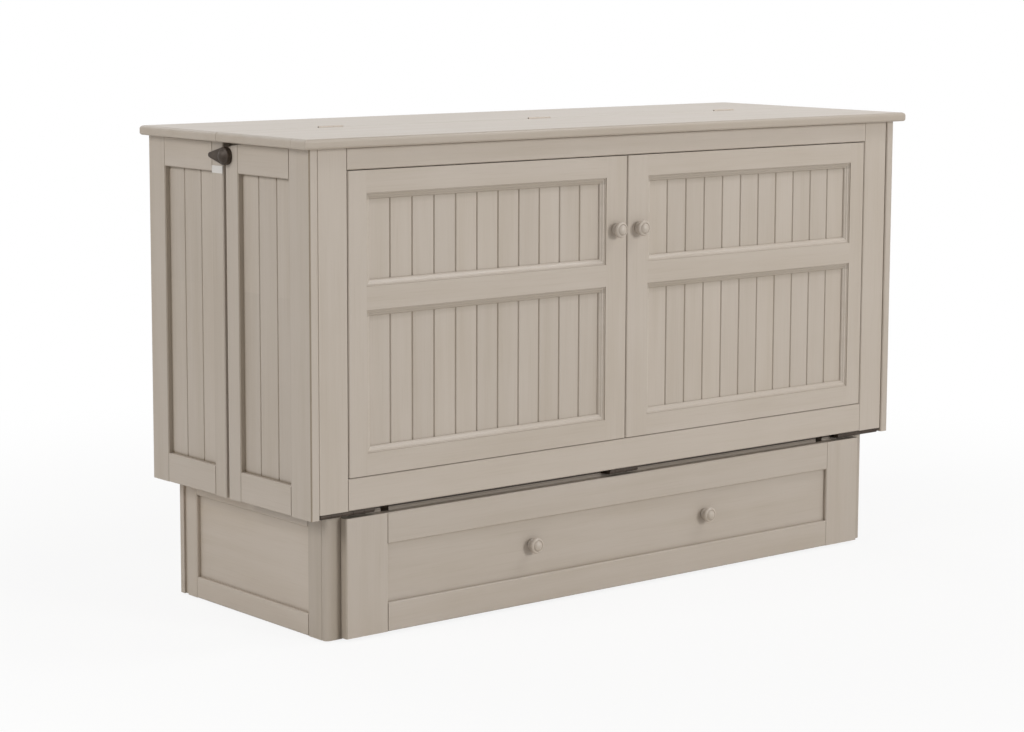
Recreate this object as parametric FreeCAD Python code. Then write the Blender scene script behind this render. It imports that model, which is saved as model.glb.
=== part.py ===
"""Cabinet bed: a painted hardwood cabinet whose front half tips forward into a bed.

Frame of the part, in millimetres: X runs left to right seen from the front, Y runs from the
front to the back, Z runs up.  The origin is the bottom centre of the closed cabinet's box.
Every sub-part is written as one STEP file named after its node.
"""
import FreeCAD, Part
import math
import os

V = FreeCAD.Vector
os.makedirs("parts", exist_ok=True)

# ---------------------------------------------------------------- driving dimensions
# Overall body
top_width = 1680.0           # across the overhanging top
top_depth = 600.0            # front edge to rear edge of the top
top_height = 1000.0          # floor to the upper face of the top
top_thick = 20.0             # thickness of the top boards
knob_proud = 5.0             # how far the door knobs stand in front of the top's edge
side_overhang = 20.0         # top past the side sections
back_overhang = 2.0          # top past the rear edges of the sides
front_overhang = 21.0        # top past the face of the front frame
top_gap = 0.5                # clearance under the top boards
seam_from_back = 287.5       # rear edge of the top to the seam between its two boards
seam_gap = 1.0               # joint between the two boards of the top
edging_depth = 51.0          # front edging strip of the lid
nosing_upper = 7.0           # rounding of the top boards' upper edge
nosing_lower = 5.0           # rounding of the top boards' lower edge
edging_ease = 0.9            # eased edges where the lid's board meets its edging
seam_ease = 1.1              # eased edges where the two boards of the top meet
lid_batten_section = 14.0    # square battens under the lid's ends
lid_batten_length = 64.0
lid_batten_side_gap = 2.0    # lid's battens in from the side sections
lid_batten_rear_gap = 30.0   # lid's battens in front of the seam

# Timber sections
frame_thick = 20.0           # thickness of every frame: front, sides, drawer front
arris = 2.0                  # eased edge on every stick
board_recess = 11.0          # planks lie this far behind the frame's face
board_thick = 7.0            # thickness of the planked panels
bead_width = 4.4             # width of the V groove between two planks
bead_depth = 2.6             # depth of the V groove

# Front box: face frame, doors and deck that tip forward together
stile_width = 71.0           # outer stiles of the front frame
top_rail_width = 43.5        # top rail of the front frame
bottom_rail_width = 64.0     # bottom rail of the front frame
frame_side_gap = 0.5         # front frame clear of the side sections
door_gap = 1.6               # gap all round each door
door_side_stile = 44.0       # door stile on the outer side
door_mid_stile = 58.5        # door stile where the two doors meet
door_rail_width = 44.5       # top and bottom rails of a door
door_lock_rail = 46.0        # rail between the upper and lower panels
door_lock_drop = 251.4       # middle of that rail below the door's upper edge
moulding_width = 13.0        # stepped moulding round each door panel
moulding_drop = 2.0          # moulding's outer lip below the door's face
# Front of the moulding: distance from the opening's edge and depth below the outer lip
moulding_steps = [(0.0, 0.0), (2.2, 0.0), (3.4, 1.8), (6.4, 2.4), (9.4, 4.6), (11.2, 5.0)]
moulding_inner_lip = 1.6     # height of the moulding's inner edge over the planks
moulding_float = 0.1         # moulding above the planks it lies on
plank_lines = 10             # V grooves across a door panel
plank_edge = 65.2            # outermost V groove in from the edge of its bay
knob_reach = 26.0            # door knob, face to tip
# Turned knob from the seat to the tip: distance from its axis and height over the seat
knob_profile = [(0.0, 0.0), (11.5, 0.0), (11.5, 2.2), (8.6, 4.6), (8.0, 8.2), (10.6, 11.6),
                (15.2, 13.4), (17.0, 16.2), (15.6, 19.6), (12.6, 22.6), (10.6, 21.6),
                (6.8, 24.8), (0.0, knob_reach)]
door_knob_lift = 97.0        # door knobs above the middle of the rail between the panels
door_knob_offset = 32.0      # centre of a door knob from the middle

# Side sections
section_before_seam = 4.0    # rear edge of the front section in front of the top's seam
section_after_seam = 6.0     # front edge of the rear section behind that seam
section_lift = 2.0           # side sections above the base
section_rail_width = 61.0    # top and bottom rails of the side sections
front_far_stile = 45.0       # front section's stile beside the gap
front_near_stile = 67.0      # front section's stile at the cabinet's corner
rear_near_stile = 40.0       # rear section's stile beside the gap
rear_far_stile = 62.0        # rear section's stile at the back
section_front_lip = 3.0      # side sections stand this far in front of the front frame
stop_strip_thick = 14.0      # strips inside the rear sections that close the gap from behind
stop_strip_lap = 22.0        # strips reach this far behind the front sections
stop_strip_clear = 0.5       # strips clear of the front sections
side_plank_pitch = 62.5      # width of a plank in the side sections
ease_run = 97.0              # front section's upper edge curves down here, to pass the lid
ease_radius = 400.0          # radius of that curve
back_panel_thick = 9.0       # rear panel of the cabinet
back_panel_inset = 6.0       # rear panel in from the sides' rear edges

# Base and drawer
base_side_setback = 53.0     # base in from the faces of the side sections
base_height = 254.0          # top of the base
base_front_setback = 26.0    # front posts behind the face of the front frame
base_rear_setback = 20.0     # back of the base in from the top's rear edge
post_width = 40.0            # corner post, seen from the front
post_depth = 13.5            # corner post, seen from the side
post_round = 11.0            # rounded outer edge of the corner post
base_front_stile = 47.5      # front stile of the base's side frame
base_rear_stile = 38.0       # rear stile of the base's side frame
base_rail_top = 30.0         # top rail of the base's side frame
base_rail_bottom = 45.0      # bottom rail of the base's side frame
base_panel_recess = 9.0      # flat panel behind the side frame's face
base_panel_thick = 8.0
base_back_thick = 14.0       # rear board of the base
rear_groove = 13.0           # narrow recess between the side frame and the rear board
rear_groove_depth = 5.0
glide_height = 3.0           # nylon glides under the base
glide_radius = 6.0
base_rail_thick = 20.0       # front rail of the base, above the drawer box
base_rail_depth = 34.0
strip_thick = 12.0           # closing strip on the front rail, between the hinges
strip_height = 8.0
strip_clear = 6.0            # closing strip clear of the middle hinge
rest_clear = 0.5             # rest blocks under the lower edge of the front frame
rest_gap = 4.0               # outer rest block clear of the outer hinge
rest_outer = 26.0            # length of the outer rest block
rest_notch = 20.0            # open notch between the two rest blocks
rest_notch_depth = 12.0      # depth of that notch in the rail
rest_inner = 22.0            # length of the inner rest block

drawer_side_setback = 35.5   # drawer front in from the base's outer faces
drawer_bottom_gap = 6.0      # drawer front above the floor
drawer_top_clear = 2.0       # drawer front under the face of the front, once tipped
drawer_setback = 5.0         # drawer front behind the face of the front frame
drawer_stile = 103.0
drawer_rail_upper = 63.0
drawer_rail_lower = 59.0
drawer_panel_recess = 8.0
drawer_panel_thick = 8.0
drawer_knob_x = 249.0
drawer_knob_lift = 2.75      # drawer knobs above the middle of the drawer front
drawer_side_thick = 15.0
drawer_box_bottom = 30.0
drawer_box_drop = 36.5       # box's upper edge below the upper edge of the drawer front
drawer_box_gap = 15.5        # space for the slides between the box and the posts
drawer_rear_gap = 50.0       # box in front of the base's rear board
drawer_floor_thick = 8.0
drawer_floor_lift = 10.0     # underside of the drawer's floor above the box's lower edge

runner_height = 45.0         # steel drawer slides
runner_sheet = 1.5
runner_lift = 80.0           # slides above the box's lower edge
runner_play = 0.4            # between the fixed and the moving channel

# Hinge line of the front
pivot_behind_face = 9.0      # pin behind the face of the front frame
barrel_radius = 5.5
pin_radius = 2.5
pin_play = 0.05
leaf_thick = 2.5
hinge_length = 132.0         # two outer hinges
middle_hinge_length = 80.0
hinge_leaf_depth = 34.0
side_hinge_inset = 39.0      # centre of the outer hinges in from the base's outer faces
leaf_end_clear = 3.0         # base leaf in from the base's outer face
front_leaf_lip = 1.5         # upper leaf in from the frame's face
front_leaf_inset = 1.0       # upper leaf in from the frame's rear face
barrel_clear = 0.4           # a leaf clear of the other leaf's knuckles
knuckles = 5
knuckle_gap = 0.6

# Hinges of the lid, let into the meeting edges of the two boards
flap_leaf = 62.0             # length of a leaf along the seam
flap_leaf_depth = 15.0       # leaf down the board's edge
flap_leaf_thick = 1.5
flap_leaf_gap = 0.4          # between the two leaves
flap_barrel_radius = 2.6
flap_pin_radius = 1.2
flap_hinge_inset = 280.0     # outer lid hinges in from the ends of the top
flap_rise = 0.4              # pin above the top's upper face
flap_clear = 0.5             # recess in the boards round the knuckles

# Decks
slat_thick = 18.0
slat_gap = 6.0
slat_side_gap = 38.0         # outermost slats in from the side sections
slat_count = 17              # 9 fixed slats and 8 sliding ones
deck_offset = 60.0           # upper face of the slats behind the front frame's rear face
ledger_thick = 18.0
ledger_lift = 3.0            # lower ledger above the lower edge of the front frame
ledger_drop = 51.5           # upper ledger's underside below the top of the body
foot_rail_width = 29.0
foot_rail_clear = 2.5        # foot rail below the top of the body
slide_lower_gap = 2.0        # inner batten clear of the ledgers at both ends of its travel
batten_width = 22.0
batten_thick = 14.0
slide_play = 0.5             # between the ledgers, the sliding slats and the fixed ones
side_rail_thick = 14.0
side_rail_depth = 34.0
side_rail_gap = 2.0          # side rails outside the outermost slats
guide_width = 8.0            # tongue of the runner strips, in the side rails' groove
guide_play = 1.0
guide_bite = 5.0
head_slat_count = 5
head_deck_front = 62.0       # front edge of the head deck behind the front frame's rear face
bearer_width = 30.0
bearer_count = 5
floor_board_thick = 16.0
cleat_width = 20.0           # corner cleats behind the front frame's stiles
cleat_depth = 18.0
cleat_lift = 12.0            # cleats' lower ends above the side sections' lower edges
cleat_top_gap = 4.0          # cleats' upper ends below the top of the body

leg_section = 19.0           # square section of the fold-down legs
leg_inset = 62.0             # leg pivots in from the ends of the slatted deck
leg_floor_gap = 2.0          # lowered leg above the floor
leg_back_gap = 20.5          # stored leg behind the front frame's rear face
leg_pin_radius = 5.0
ear_thick = 3.0              # ears of the leg brackets
ear_play = 0.5               # leg between the ears
ear_margin = 4.0             # ears wider than the leg, on each side
bracket_plate = 1.6

# Mattress in three thirds
mattress_side_gap = 38.0     # mattress in from the side sections
mattress_top_gap = 20.7      # folded mattress below the top of the body
mattress_front_gap = 27.8    # folded mattress behind the deck of the front box
mattress_back_gap = 3.0
mattress_gap = 0.6           # between two folded thirds
mattress_rest = 0.3          # mattress above the deck
mattress_crown = 10.0        # faces bulge by this much
mattress_corner = 38.0       # corner radius seen from the front
mattress_drawn = 7.0         # sides drawn in halfway between the faces
# Edge of a third, from its face inwards: depth and inset, both as shares of the crown
mattress_edge = [(0.0, 3.2), (0.35, 1.1), (1.2, 0.0)]
mattress_side_share = 0.55   # inset at the sides, against that at the faces
mattress_foot_share = 0.22   # inset at the edge it stands on

# Latches
latch_drop = 27.5            # centre of a latch below the top of the body
latch_setback = 7.0          # centre of a latch in front of the front section's rear edge
latch_radius = 18.0
latch_base_thick = 3.0
latch_reach = 48.5           # hub to the centre of the lever's rounded tip
latch_tip_radius = 5.5
latch_lever_thick = 8.0
latch_dome = 7.0             # domed hub above the lever
latch_dome_rim = 1.5         # hub's foot in from the lever's round end
latch_dome_top = 10.0        # radius of the hub's flat top
latch_gap = 0.5
latch_pin_radius = 4.0
keeper_length = 20.0
keeper_height = 12.0
keeper_setback = 7.0         # keeper behind the rear section's front edge
tag_width = 38.0
tag_height = 15.0
tag_thick = 0.6
tag_setback = 0.5            # tag behind the rear section's front edge
tag_drop = 3.5               # tag below the latch's base

# ---------------------------------------------------------------- derived places
half_top = top_width / 2
top_back = (top_depth + knob_proud) / 2
top_front = top_back - top_depth
top_under = top_height - top_thick
body_top = top_under - top_gap
seam = top_back - seam_from_back
face = top_front + front_overhang
face_back = face + frame_thick
side_out = half_top - side_overhang
side_in = side_out - frame_thick
side_back = top_back - back_overhang
section_gap_front = seam - section_before_seam
section_gap_rear = seam + section_after_seam
section_bottom = base_height + section_lift
frame_bottom = base_height + 2 * barrel_radius
base_half_width = side_out - base_side_setback
side_hinge_x = base_half_width - side_hinge_inset
flap_hinge_x = half_top - flap_hinge_inset
pivot_y = face + pivot_behind_face
pivot_z = frame_bottom - barrel_radius
deck_face = face_back + deck_offset
base_front = face + base_front_setback
base_back = top_back - base_rear_setback
base_in = base_half_width - frame_thick
drawer_face = face + drawer_setback
drawer_back = drawer_face + frame_thick
drawer_half_width = base_half_width - drawer_side_setback
drawer_top = pivot_z - pivot_behind_face - drawer_top_clear
drawer_knob_z = (drawer_bottom_gap + drawer_top) / 2 + drawer_knob_lift
drawer_box_top = drawer_top - drawer_box_drop
drawer_box_half = base_half_width - post_width - drawer_box_gap
drawer_box_back = base_back - base_back_thick - drawer_rear_gap
runner_z = drawer_box_bottom + runner_lift
back_inner = side_back - back_panel_inset - back_panel_thick
# Height of the sleeping deck: the deck of the front box, once tipped by a quarter turn
deck_top = pivot_z + (deck_face - pivot_y)
deck_under = deck_top - slat_thick
lower_ledger_z = frame_bottom + ledger_lift
upper_ledger_z = body_top - ledger_drop
foot_rail_top = body_top - foot_rail_clear
batten_z = lower_ledger_z + ledger_thick + slide_lower_gap
slide_travel = upper_ledger_z - (batten_z + batten_width) - slide_lower_gap
deck_back = deck_face - slat_thick           # rear of the front box's structure under the slats
slat_span = 2 * (side_in - slat_side_gap)
slat_width = (slat_span - (slat_count - 1) * slat_gap) / slat_count
leg_x = slat_span / 2 - leg_inset
mattress_width = 2 * (side_in - mattress_side_gap)
mattress_length_third = body_top - mattress_top_gap - deck_top - mattress_rest
mattress_room = back_inner - mattress_back_gap - deck_face - mattress_front_gap
mattress_thick = (mattress_room - 2 * mattress_gap) / 3
foot_rail_z = foot_rail_top - foot_rail_width
door_top = body_top - top_rail_width - door_gap
door_bottom = frame_bottom + bottom_rail_width + door_gap
door_lock_height = door_top - door_lock_drop
door_knob_height = door_lock_height + door_knob_lift
frame_edge = side_in - frame_side_gap
opening_edge = frame_edge - stile_width
door_edge = opening_edge - door_gap
bay_x0 = door_gap / 2 + door_mid_stile
bay_x1 = door_edge - door_side_stile
plank_pitch = (bay_x1 - bay_x0 - 2 * plank_edge) / (plank_lines - 1)
bays = [(door_bottom + door_rail_width, door_lock_height - door_lock_rail / 2),
        (door_lock_height + door_lock_rail / 2, door_top - door_rail_width)]
latch_z = body_top - latch_drop


# ---------------------------------------------------------------- small makers
def box(x0, x1, y0, y1, z0, z1):
    """A plain block between two corners."""
    return Part.makeBox(x1 - x0, y1 - y0, z1 - z0, V(x0, y0, z0))


def place(along, length_at, across_a, across_b):
    """A point from its place along a stick and its two places across it."""
    if along == "x":
        return V(length_at, across_a, across_b)
    if along == "y":
        return V(across_b, length_at, across_a)
    return V(across_a, across_b, length_at)


AXES = {"x": V(1, 0, 0), "y": V(0, 1, 0), "z": V(0, 0, 1)}


def prism(points, along, start, end):
    """A flat outline pushed along an axis; points are the two places across that axis."""
    corners = [place(along, start, a, b) for a, b in points]
    wire = Part.makePolygon(corners + corners[:1])
    return Part.Face(wire).extrude(AXES[along] * (end - start))


def stick(x0, x1, y0, y1, z0, z1, along, ease=arris):
    """A stick of timber with its four long edges eased."""
    spans = {"x": (x0, x1, y0, y1, z0, z1), "y": (y0, y1, z0, z1, x0, x1),
             "z": (z0, z1, x0, x1, y0, y1)}[along]
    start, end, a0, a1, b0, b1 = spans
    points = [(a0 + ease, b0), (a1 - ease, b0), (a1, b0 + ease), (a1, b1 - ease),
              (a1 - ease, b1), (a0 + ease, b1), (a0, b1 - ease), (a0, b0 + ease)]
    return prism(points, along, start, end)


def mirrored(shape):
    """The shape's twin on the other side of the middle."""
    return shape.mirror(V(0, 0, 0), V(1, 0, 0))


def pair(shape):
    """The shape and its twin."""
    return [shape, mirrored(shape)]


def cylinder(radius, length, base, direction):
    return Part.makeCylinder(radius, length, base, direction)


def save(name, solids):
    """Writes one node; several pieces stay separate solids."""
    solids = solids if isinstance(solids, list) else [solids]
    shape = solids[0] if len(solids) == 1 else Part.makeCompound(solids)
    shape.exportStep("parts/%s.step" % name)
    print("%-28s %d solids, valid %s" % (name, len(shape.Solids), shape.isValid()))


def beaded_board(a0, a1, z0, z1, face_at, back_at, lines, axis):
    """A planked panel standing upright, with V grooves in its face at the given lines.

    axis "x" spans the panel along X with its face at Y = face_at; axis "y" spans it along Y
    with its face at X = face_at.
    """
    inward = 1.0 if back_at > face_at else -1.0
    outline = [(a0, face_at)]
    for line in lines:
        outline += [(line - bead_width / 2, face_at), (line, face_at + inward * bead_depth),
                    (line + bead_width / 2, face_at)]
    outline += [(a1, face_at), (a1, back_at), (a0, back_at)]
    if axis == "y":
        outline = [(depth, along) for along, depth in outline]
    return prism(outline, "z", z0, z1)


def moulding_ring(x0, x1, z0, z1):
    """A mitred ring of stepped moulding inside a door's opening, raised off the planks."""
    outer = face + moulding_drop
    inner = face + board_recess - moulding_float
    section = [(inset, outer + depth) for inset, depth in moulding_steps]
    section += [(moulding_width, inner - moulding_inner_lip), (moulding_width, inner),
                (0.0, inner)]
    rings = []
    for inset, depth in section:
        rings.append([V(x0 + inset, depth, z0 + inset), V(x1 - inset, depth, z0 + inset),
                      V(x1 - inset, depth, z1 - inset), V(x0 + inset, depth, z1 - inset)])
    faces = []
    for index in range(len(rings)):
        ring, after = rings[index], rings[(index + 1) % len(rings)]
        for corner in range(4):
            other = (corner + 1) % 4
            quad = [ring[corner], ring[other], after[other], after[corner]]
            faces.append(Part.Face(Part.makePolygon(quad + quad[:1])))
    shell = Part.makeShell(faces)
    solid = Part.makeSolid(shell)
    if solid.Volume < 0:
        solid.reverse()
    return solid


def arc(a, b, c):
    return Part.Arc(a, b, c).toShape()


def line(a, b):
    return Part.LineSegment(a, b).toShape()


def knob(x, z, seat):
    """A turned wooden knob on the face at Y = seat, pointing forward."""
    points = [V(x + radius, seat - out, z) for radius, out in knob_profile]
    profile = Part.Face(Part.makePolygon(points + points[:1]))
    return profile.revolve(V(x, seat, z), V(0, 1, 0), 360)


def nosed_board(x0, x1, y0, y1, front, rear, joints):
    """A board of the top, its outer edges rounded and the edges of its joints eased.

    joints holds the place along Y and the size of the ease of each edge that meets a board.
    """
    z0, z1 = top_under, top_height
    up, low = nosing_upper, nosing_lower
    board = box(x0, x1, y0, y1, z0, z1)

    def edge_at(edge, z):
        first, last = edge.Vertexes[0].Point, edge.Vertexes[-1].Point
        flat = abs(first.z - z) < 1e-6 and abs(last.z - z) < 1e-6
        if not flat:
            return False
        if abs(first.y - last.y) < 1e-6:
            return (front and abs(first.y - y0) < 1e-6) or (rear and abs(first.y - y1) < 1e-6)
        return True

    board = board.makeFillet(up, [e for e in board.Edges if edge_at(e, z1)])
    board = board.makeFillet(low, [e for e in board.Edges if edge_at(e, z0)])
    for joint, ease in joints:
        rim = [e for e in board.Edges if all(abs(v.Y - joint) < 1e-6 for v in e.Vertexes)]
        board = board.makeChamfer(ease, rim)
    return board


def knuckled_leaf(centre_x, length, radius, pin_r, axis_y, axis_z, leaf, odd):
    """Half of a butt hinge: its leaf, and every second knuckle round the pin."""
    step = length / knuckles
    start = centre_x - length / 2
    shape = leaf
    for index in range(knuckles):
        low = start + index * step + knuckle_gap / 2
        span = step - knuckle_gap
        if (index % 2 == 1) == odd:
            shape = shape.fuse(cylinder(radius, span, V(low, axis_y, axis_z), V(1, 0, 0)))
        else:
            clear = cylinder(radius + barrel_clear, step, V(start + index * step, axis_y, axis_z),
                             V(1, 0, 0))
            shape = shape.cut(clear)
    shape = shape.cut(cylinder(pin_r + pin_play, length + 2, V(start - 1, axis_y, axis_z),
                               V(1, 0, 0)))
    return shape.removeSplitter()


# ---------------------------------------------------------------- base
def base_frame():
    """Rounded corner posts, side frames, rear board, front rail and floor glides."""
    low = glide_height
    out, inner = base_half_width, base_in
    post_back = base_front + post_depth
    post = box(out - post_width, out, base_front, post_back, low, base_height)

    def upright(y):
        return [e for e in post.Edges
                if all(abs(v.X - out) < 1e-6 and abs(v.Y - y) < 1e-6 for v in e.Vertexes)]

    post = post.makeFillet(post_round, upright(base_front))
    post = post.makeChamfer(arris, upright(post_back))
    rail_y0 = post_back + base_front_stile
    side_end = base_back - base_back_thick - rear_groove
    rail_y1 = side_end - base_rear_stile
    front_stile = stick(out - post_width, out, post_back, rail_y0, low, base_height, "z")
    save("base_front_posts", pair(post) + pair(front_stile))
    rear_stile = stick(inner, out, rail_y1, side_end, low, base_height, "z")
    corner = box(inner, out - rear_groove_depth, side_end, base_back - base_back_thick, low,
                 base_height)
    save("base_rear_stiles", pair(rear_stile.fuse(corner).removeSplitter()))

    upper = stick(inner, out, rail_y0, rail_y1, base_height - base_rail_top, base_height, "y")
    lower = stick(inner, out, rail_y0, rail_y1, low, low + base_rail_bottom, "y")
    save("base_side_rails", pair(upper) + pair(lower))

    panel_out = out - base_panel_recess
    panel = box(panel_out - base_panel_thick, panel_out, rail_y0, rail_y1,
                low + base_rail_bottom, base_height - base_rail_top)
    save("base_side_panels", pair(panel))

    back = box(-out, out, base_back - base_back_thick, base_back, low, base_height)
    save("base_back_board", back)

    rail_back = base_front + base_rail_depth
    rail = stick(-(out - post_width), out - post_width, base_front, rail_back,
                 base_height - base_rail_thick, base_height, "x")
    strip_start = middle_hinge_length / 2 + strip_clear
    rest_end = side_hinge_x - hinge_length / 2 - rest_gap
    notch_end = rest_end - rest_outer
    strip_end = notch_end - rest_notch
    rest_top = frame_bottom - rest_clear
    for x0, x1, top in ((strip_start, strip_end, base_height + strip_height),
                        (strip_end - rest_inner, strip_end, rest_top),
                        (notch_end, rest_end, rest_top)):
        block = box(x0, x1, base_front, base_front + strip_thick, base_height, top)
        rail = rail.fuse(pair(block))
    notch = box(strip_end, notch_end, base_front - 1, rail_back + 1,
                base_height - rest_notch_depth, base_height + 1)
    save("base_front_rail", rail.cut(Part.makeCompound(pair(notch))).removeSplitter())

    front_y, rear_y = (base_front + rail_y0) / 2, base_back - base_back_thick / 2
    glides = []
    for x, y in ((out - post_width / 2, front_y), (out - post_width / 2, rear_y)):
        glides += pair(cylinder(glide_radius, low, V(x, y, 0), V(0, 0, 1)))
    glides.append(cylinder(glide_radius, low, V(0, rear_y, 0), V(0, 0, 1)))
    save("floor_glides", glides)


def rear_half():
    """The fixed half of the cabinet: floor, side sections, back and rear top board."""
    floor_top = base_height + floor_board_thick
    deck_start = face_back + head_deck_front
    wing = section_gap_rear
    outline = [(-base_half_width, deck_start), (base_half_width, deck_start),
               (base_half_width, wing), (side_in, wing), (side_in, back_inner),
               (-side_in, back_inner), (-side_in, wing), (-base_half_width, wing)]
    save("cabinet_floor", prism(outline, "z", base_height, floor_top))

    near, far = section_gap_rear, side_back
    panel_y0, panel_y1 = near + rear_near_stile, far - rear_far_stile
    inner = side_in - stop_strip_thick
    strip = box(inner, side_in, near, panel_y0, floor_top, body_top)
    lap = box(inner, side_in - stop_strip_clear, section_gap_front - stop_strip_lap, near,
              floor_top, body_top)
    side_section("rear_side", near, panel_y0, panel_y1, far, False,
                 [strip.fuse(lap).removeSplitter()])

    back = box(-side_in, side_in, back_inner, back_inner + back_panel_thick, base_height, body_top)
    save("cabinet_back", back)

    meeting = seam + seam_gap / 2
    board = nosed_board(-half_top, half_top, meeting, top_back, False, True,
                        [(meeting, seam_ease)])
    save("rear_top", board.cut(Part.makeCompound(flap_recesses())))


def side_section(name, y0, panel_y0, panel_y1, y1, eased, strips=()):
    """One framed and planked side section on each side: stiles, rails and planked panel.

    strips are further solids that are fixed to the stiles.
    """
    low, high = section_bottom, body_top
    stiles = [stick(side_in, side_out, y0, panel_y0, low, high, "z"),
              stick(side_in, side_out, panel_y1, y1, low, high, "z")]
    rails = [stick(side_in, side_out, panel_y0, panel_y1, high - section_rail_width, high, "y"),
             stick(side_in, side_out, panel_y0, panel_y1, low, low + section_rail_width, "y")]
    if eased:
        start = y1 - ease_run
        above = box(side_in, side_out, start, y1 + ease_run, high - ease_run, high + 1)
        above = above.cut(cylinder(ease_radius, frame_thick, V(side_in, start, high - ease_radius),
                                   V(1, 0, 0)))
        stiles[1] = stiles[1].cut(above)
        rails[0] = rails[0].cut(above)
    middle = (panel_y0 + panel_y1) / 2
    lines = [middle - side_plank_pitch / 2, middle + side_plank_pitch / 2]
    panel = beaded_board(panel_y0, panel_y1, low + section_rail_width, high - section_rail_width,
                         side_out - board_recess, side_out - board_recess - board_thick, lines, "y")
    save(name + "_stiles", [half for piece in stiles + list(strips) for half in pair(piece)])
    save(name + "_rails", pair(rails[0]) + pair(rails[1]))
    save(name + "_beadboards", pair(panel))


# ---------------------------------------------------------------- flap hinges of the lid
def flap_centres():
    return [-flap_hinge_x, 0.0, flap_hinge_x]


def flap_recesses():
    """Recesses for the flap hinges, cut in both boards of the top."""
    cuts = []
    for x in flap_centres():
        low, high = x - flap_leaf / 2, x + flap_leaf / 2
        reach = flap_leaf_gap / 2 + flap_leaf_thick
        cuts.append(box(low, high, seam - reach, seam + reach, top_height - flap_leaf_depth,
                        top_height + 1))
        cuts.append(cylinder(flap_barrel_radius + flap_clear, flap_leaf,
                             V(low, seam, top_height + flap_rise), V(1, 0, 0)))
    return cuts


def flap_hinges():
    """Butt hinges between the boards' edges, their pin at the upper face so the lid folds flat."""
    axis_z = top_height + flap_rise
    rear, lid = [], []
    for x in flap_centres():
        low, high = x - flap_leaf / 2, x + flap_leaf / 2
        near, out = flap_leaf_gap / 2, flap_leaf_gap / 2 + flap_leaf_thick
        z0 = top_height - flap_leaf_depth
        rear_leaf = box(low, high, seam + near, seam + out, z0, axis_z)
        lid_leaf = box(low, high, seam - out, seam - near, z0, axis_z)
        rear.append(knuckled_leaf(x, flap_leaf, flap_barrel_radius, flap_pin_radius, seam, axis_z,
                                  rear_leaf, False))
        lid.append(knuckled_leaf(x, flap_leaf, flap_barrel_radius, flap_pin_radius, seam, axis_z,
                                 lid_leaf, True))
    save("lid_hinge_rear_leaves", rear)
    save("lid_hinge_lid_leaves", lid)


def lid():
    """The front half of the top: a board with a nosed front edging, and battens at its ends."""
    inner, meeting = top_front + edging_depth, seam - seam_gap / 2
    board = nosed_board(-half_top, half_top, inner, meeting, False, False,
                        [(inner, edging_ease), (meeting, seam_ease)])
    save("lid_board", board.cut(Part.makeCompound(flap_recesses())))
    save("lid_front_edging", nosed_board(-half_top, half_top, top_front, inner, True, False,
                                         [(inner, edging_ease)]))
    outer, rear = side_in - lid_batten_side_gap, seam - lid_batten_rear_gap
    batten = box(outer - lid_batten_section, outer, rear - lid_batten_length, rear,
                 top_under - lid_batten_section, top_under)
    save("lid_battens", pair(batten))


# ---------------------------------------------------------------- hinge line of the front
def front_hinges():
    """Three long butt hinges under the front frame, with their pins."""
    base_leaves, front_leaves, pins = [], [], []
    top_z = frame_bottom
    for x, length in ((-side_hinge_x, hinge_length), (0.0, middle_hinge_length),
                      (side_hinge_x, hinge_length)):
        low, high = x - length / 2, x + length / 2
        edge = base_half_width - leaf_end_clear
        under = box(max(low, -edge), min(high, edge), pivot_y, pivot_y + hinge_leaf_depth,
                    base_height, base_height + leaf_thick)
        over = box(low, high, face + front_leaf_lip, face_back - front_leaf_inset,
                   top_z - leaf_thick, top_z)
        base_leaves.append(knuckled_leaf(x, length, barrel_radius, pin_radius, pivot_y,
                                         pivot_z, under, True))
        front_leaves.append(knuckled_leaf(x, length, barrel_radius, pin_radius, pivot_y,
                                          pivot_z, over, False))
        pins.append(cylinder(pin_radius, length, V(low, pivot_y, pivot_z), V(1, 0, 0)))
    for x in flap_centres():
        pins.append(cylinder(flap_pin_radius, flap_leaf,
                             V(x - flap_leaf / 2, seam, top_height + flap_rise), V(1, 0, 0)))
    save("front_hinge_base_leaves", base_leaves)
    save("front_hinge_front_leaves", front_leaves)
    save("hinge_pins", pins)


# ---------------------------------------------------------------- front box
def front_frame():
    """Face frame of the front, with the two framed doors fixed in it."""
    low, high = frame_bottom, body_top
    stile = stick(opening_edge, frame_edge, face, face_back, low, high, "z")
    save("front_frame_stiles", pair(stile))
    upper = stick(-opening_edge, opening_edge, face, face_back, high - top_rail_width, high, "x")
    lower = stick(-opening_edge, opening_edge, face, face_back, low, low + bottom_rail_width, "x")
    save("front_frame_rails", [upper, lower])
    cleat = box(side_in - cleat_width, side_in, face_back, face_back + cleat_depth,
                section_bottom + cleat_lift, body_top - cleat_top_gap)
    save("front_corner_cleats", pair(cleat))


def doors():
    """Two framed doors: stiles, rails, mouldings, planked panels and turned knobs."""
    inner_edge, outer_edge = door_gap / 2, door_edge
    mid = eased_post(inner_edge, bay_x0, door_bottom, door_top, inner_edge)
    side = eased_post(bay_x1, outer_edge, door_bottom, door_top, outer_edge)
    save("door_stiles", pair(mid) + pair(side))
    rails = []
    for z0, z1 in ((door_bottom, bays[0][0]), (bays[0][1], bays[1][0]), (bays[1][1], door_top)):
        rails += pair(box(bay_x0, bay_x1, face, face_back, z0, z1))
    save("door_rails", rails)
    boards, mouldings = [], []
    middle = (bay_x0 + bay_x1) / 2
    first = middle - (plank_lines - 1) * plank_pitch / 2
    lines = [first + index * plank_pitch for index in range(plank_lines)]
    for z0, z1 in bays:
        boards += pair(beaded_board(bay_x0, bay_x1, z0, z1, face + board_recess,
                                    face + board_recess + board_thick, lines, "x"))
        mouldings += pair(moulding_ring(bay_x0, bay_x1, z0, z1))
    save("door_beadboards", boards)
    save("door_mouldings", mouldings)
    save("door_knobs", pair(knob(door_knob_offset, door_knob_height, face)))


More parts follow.
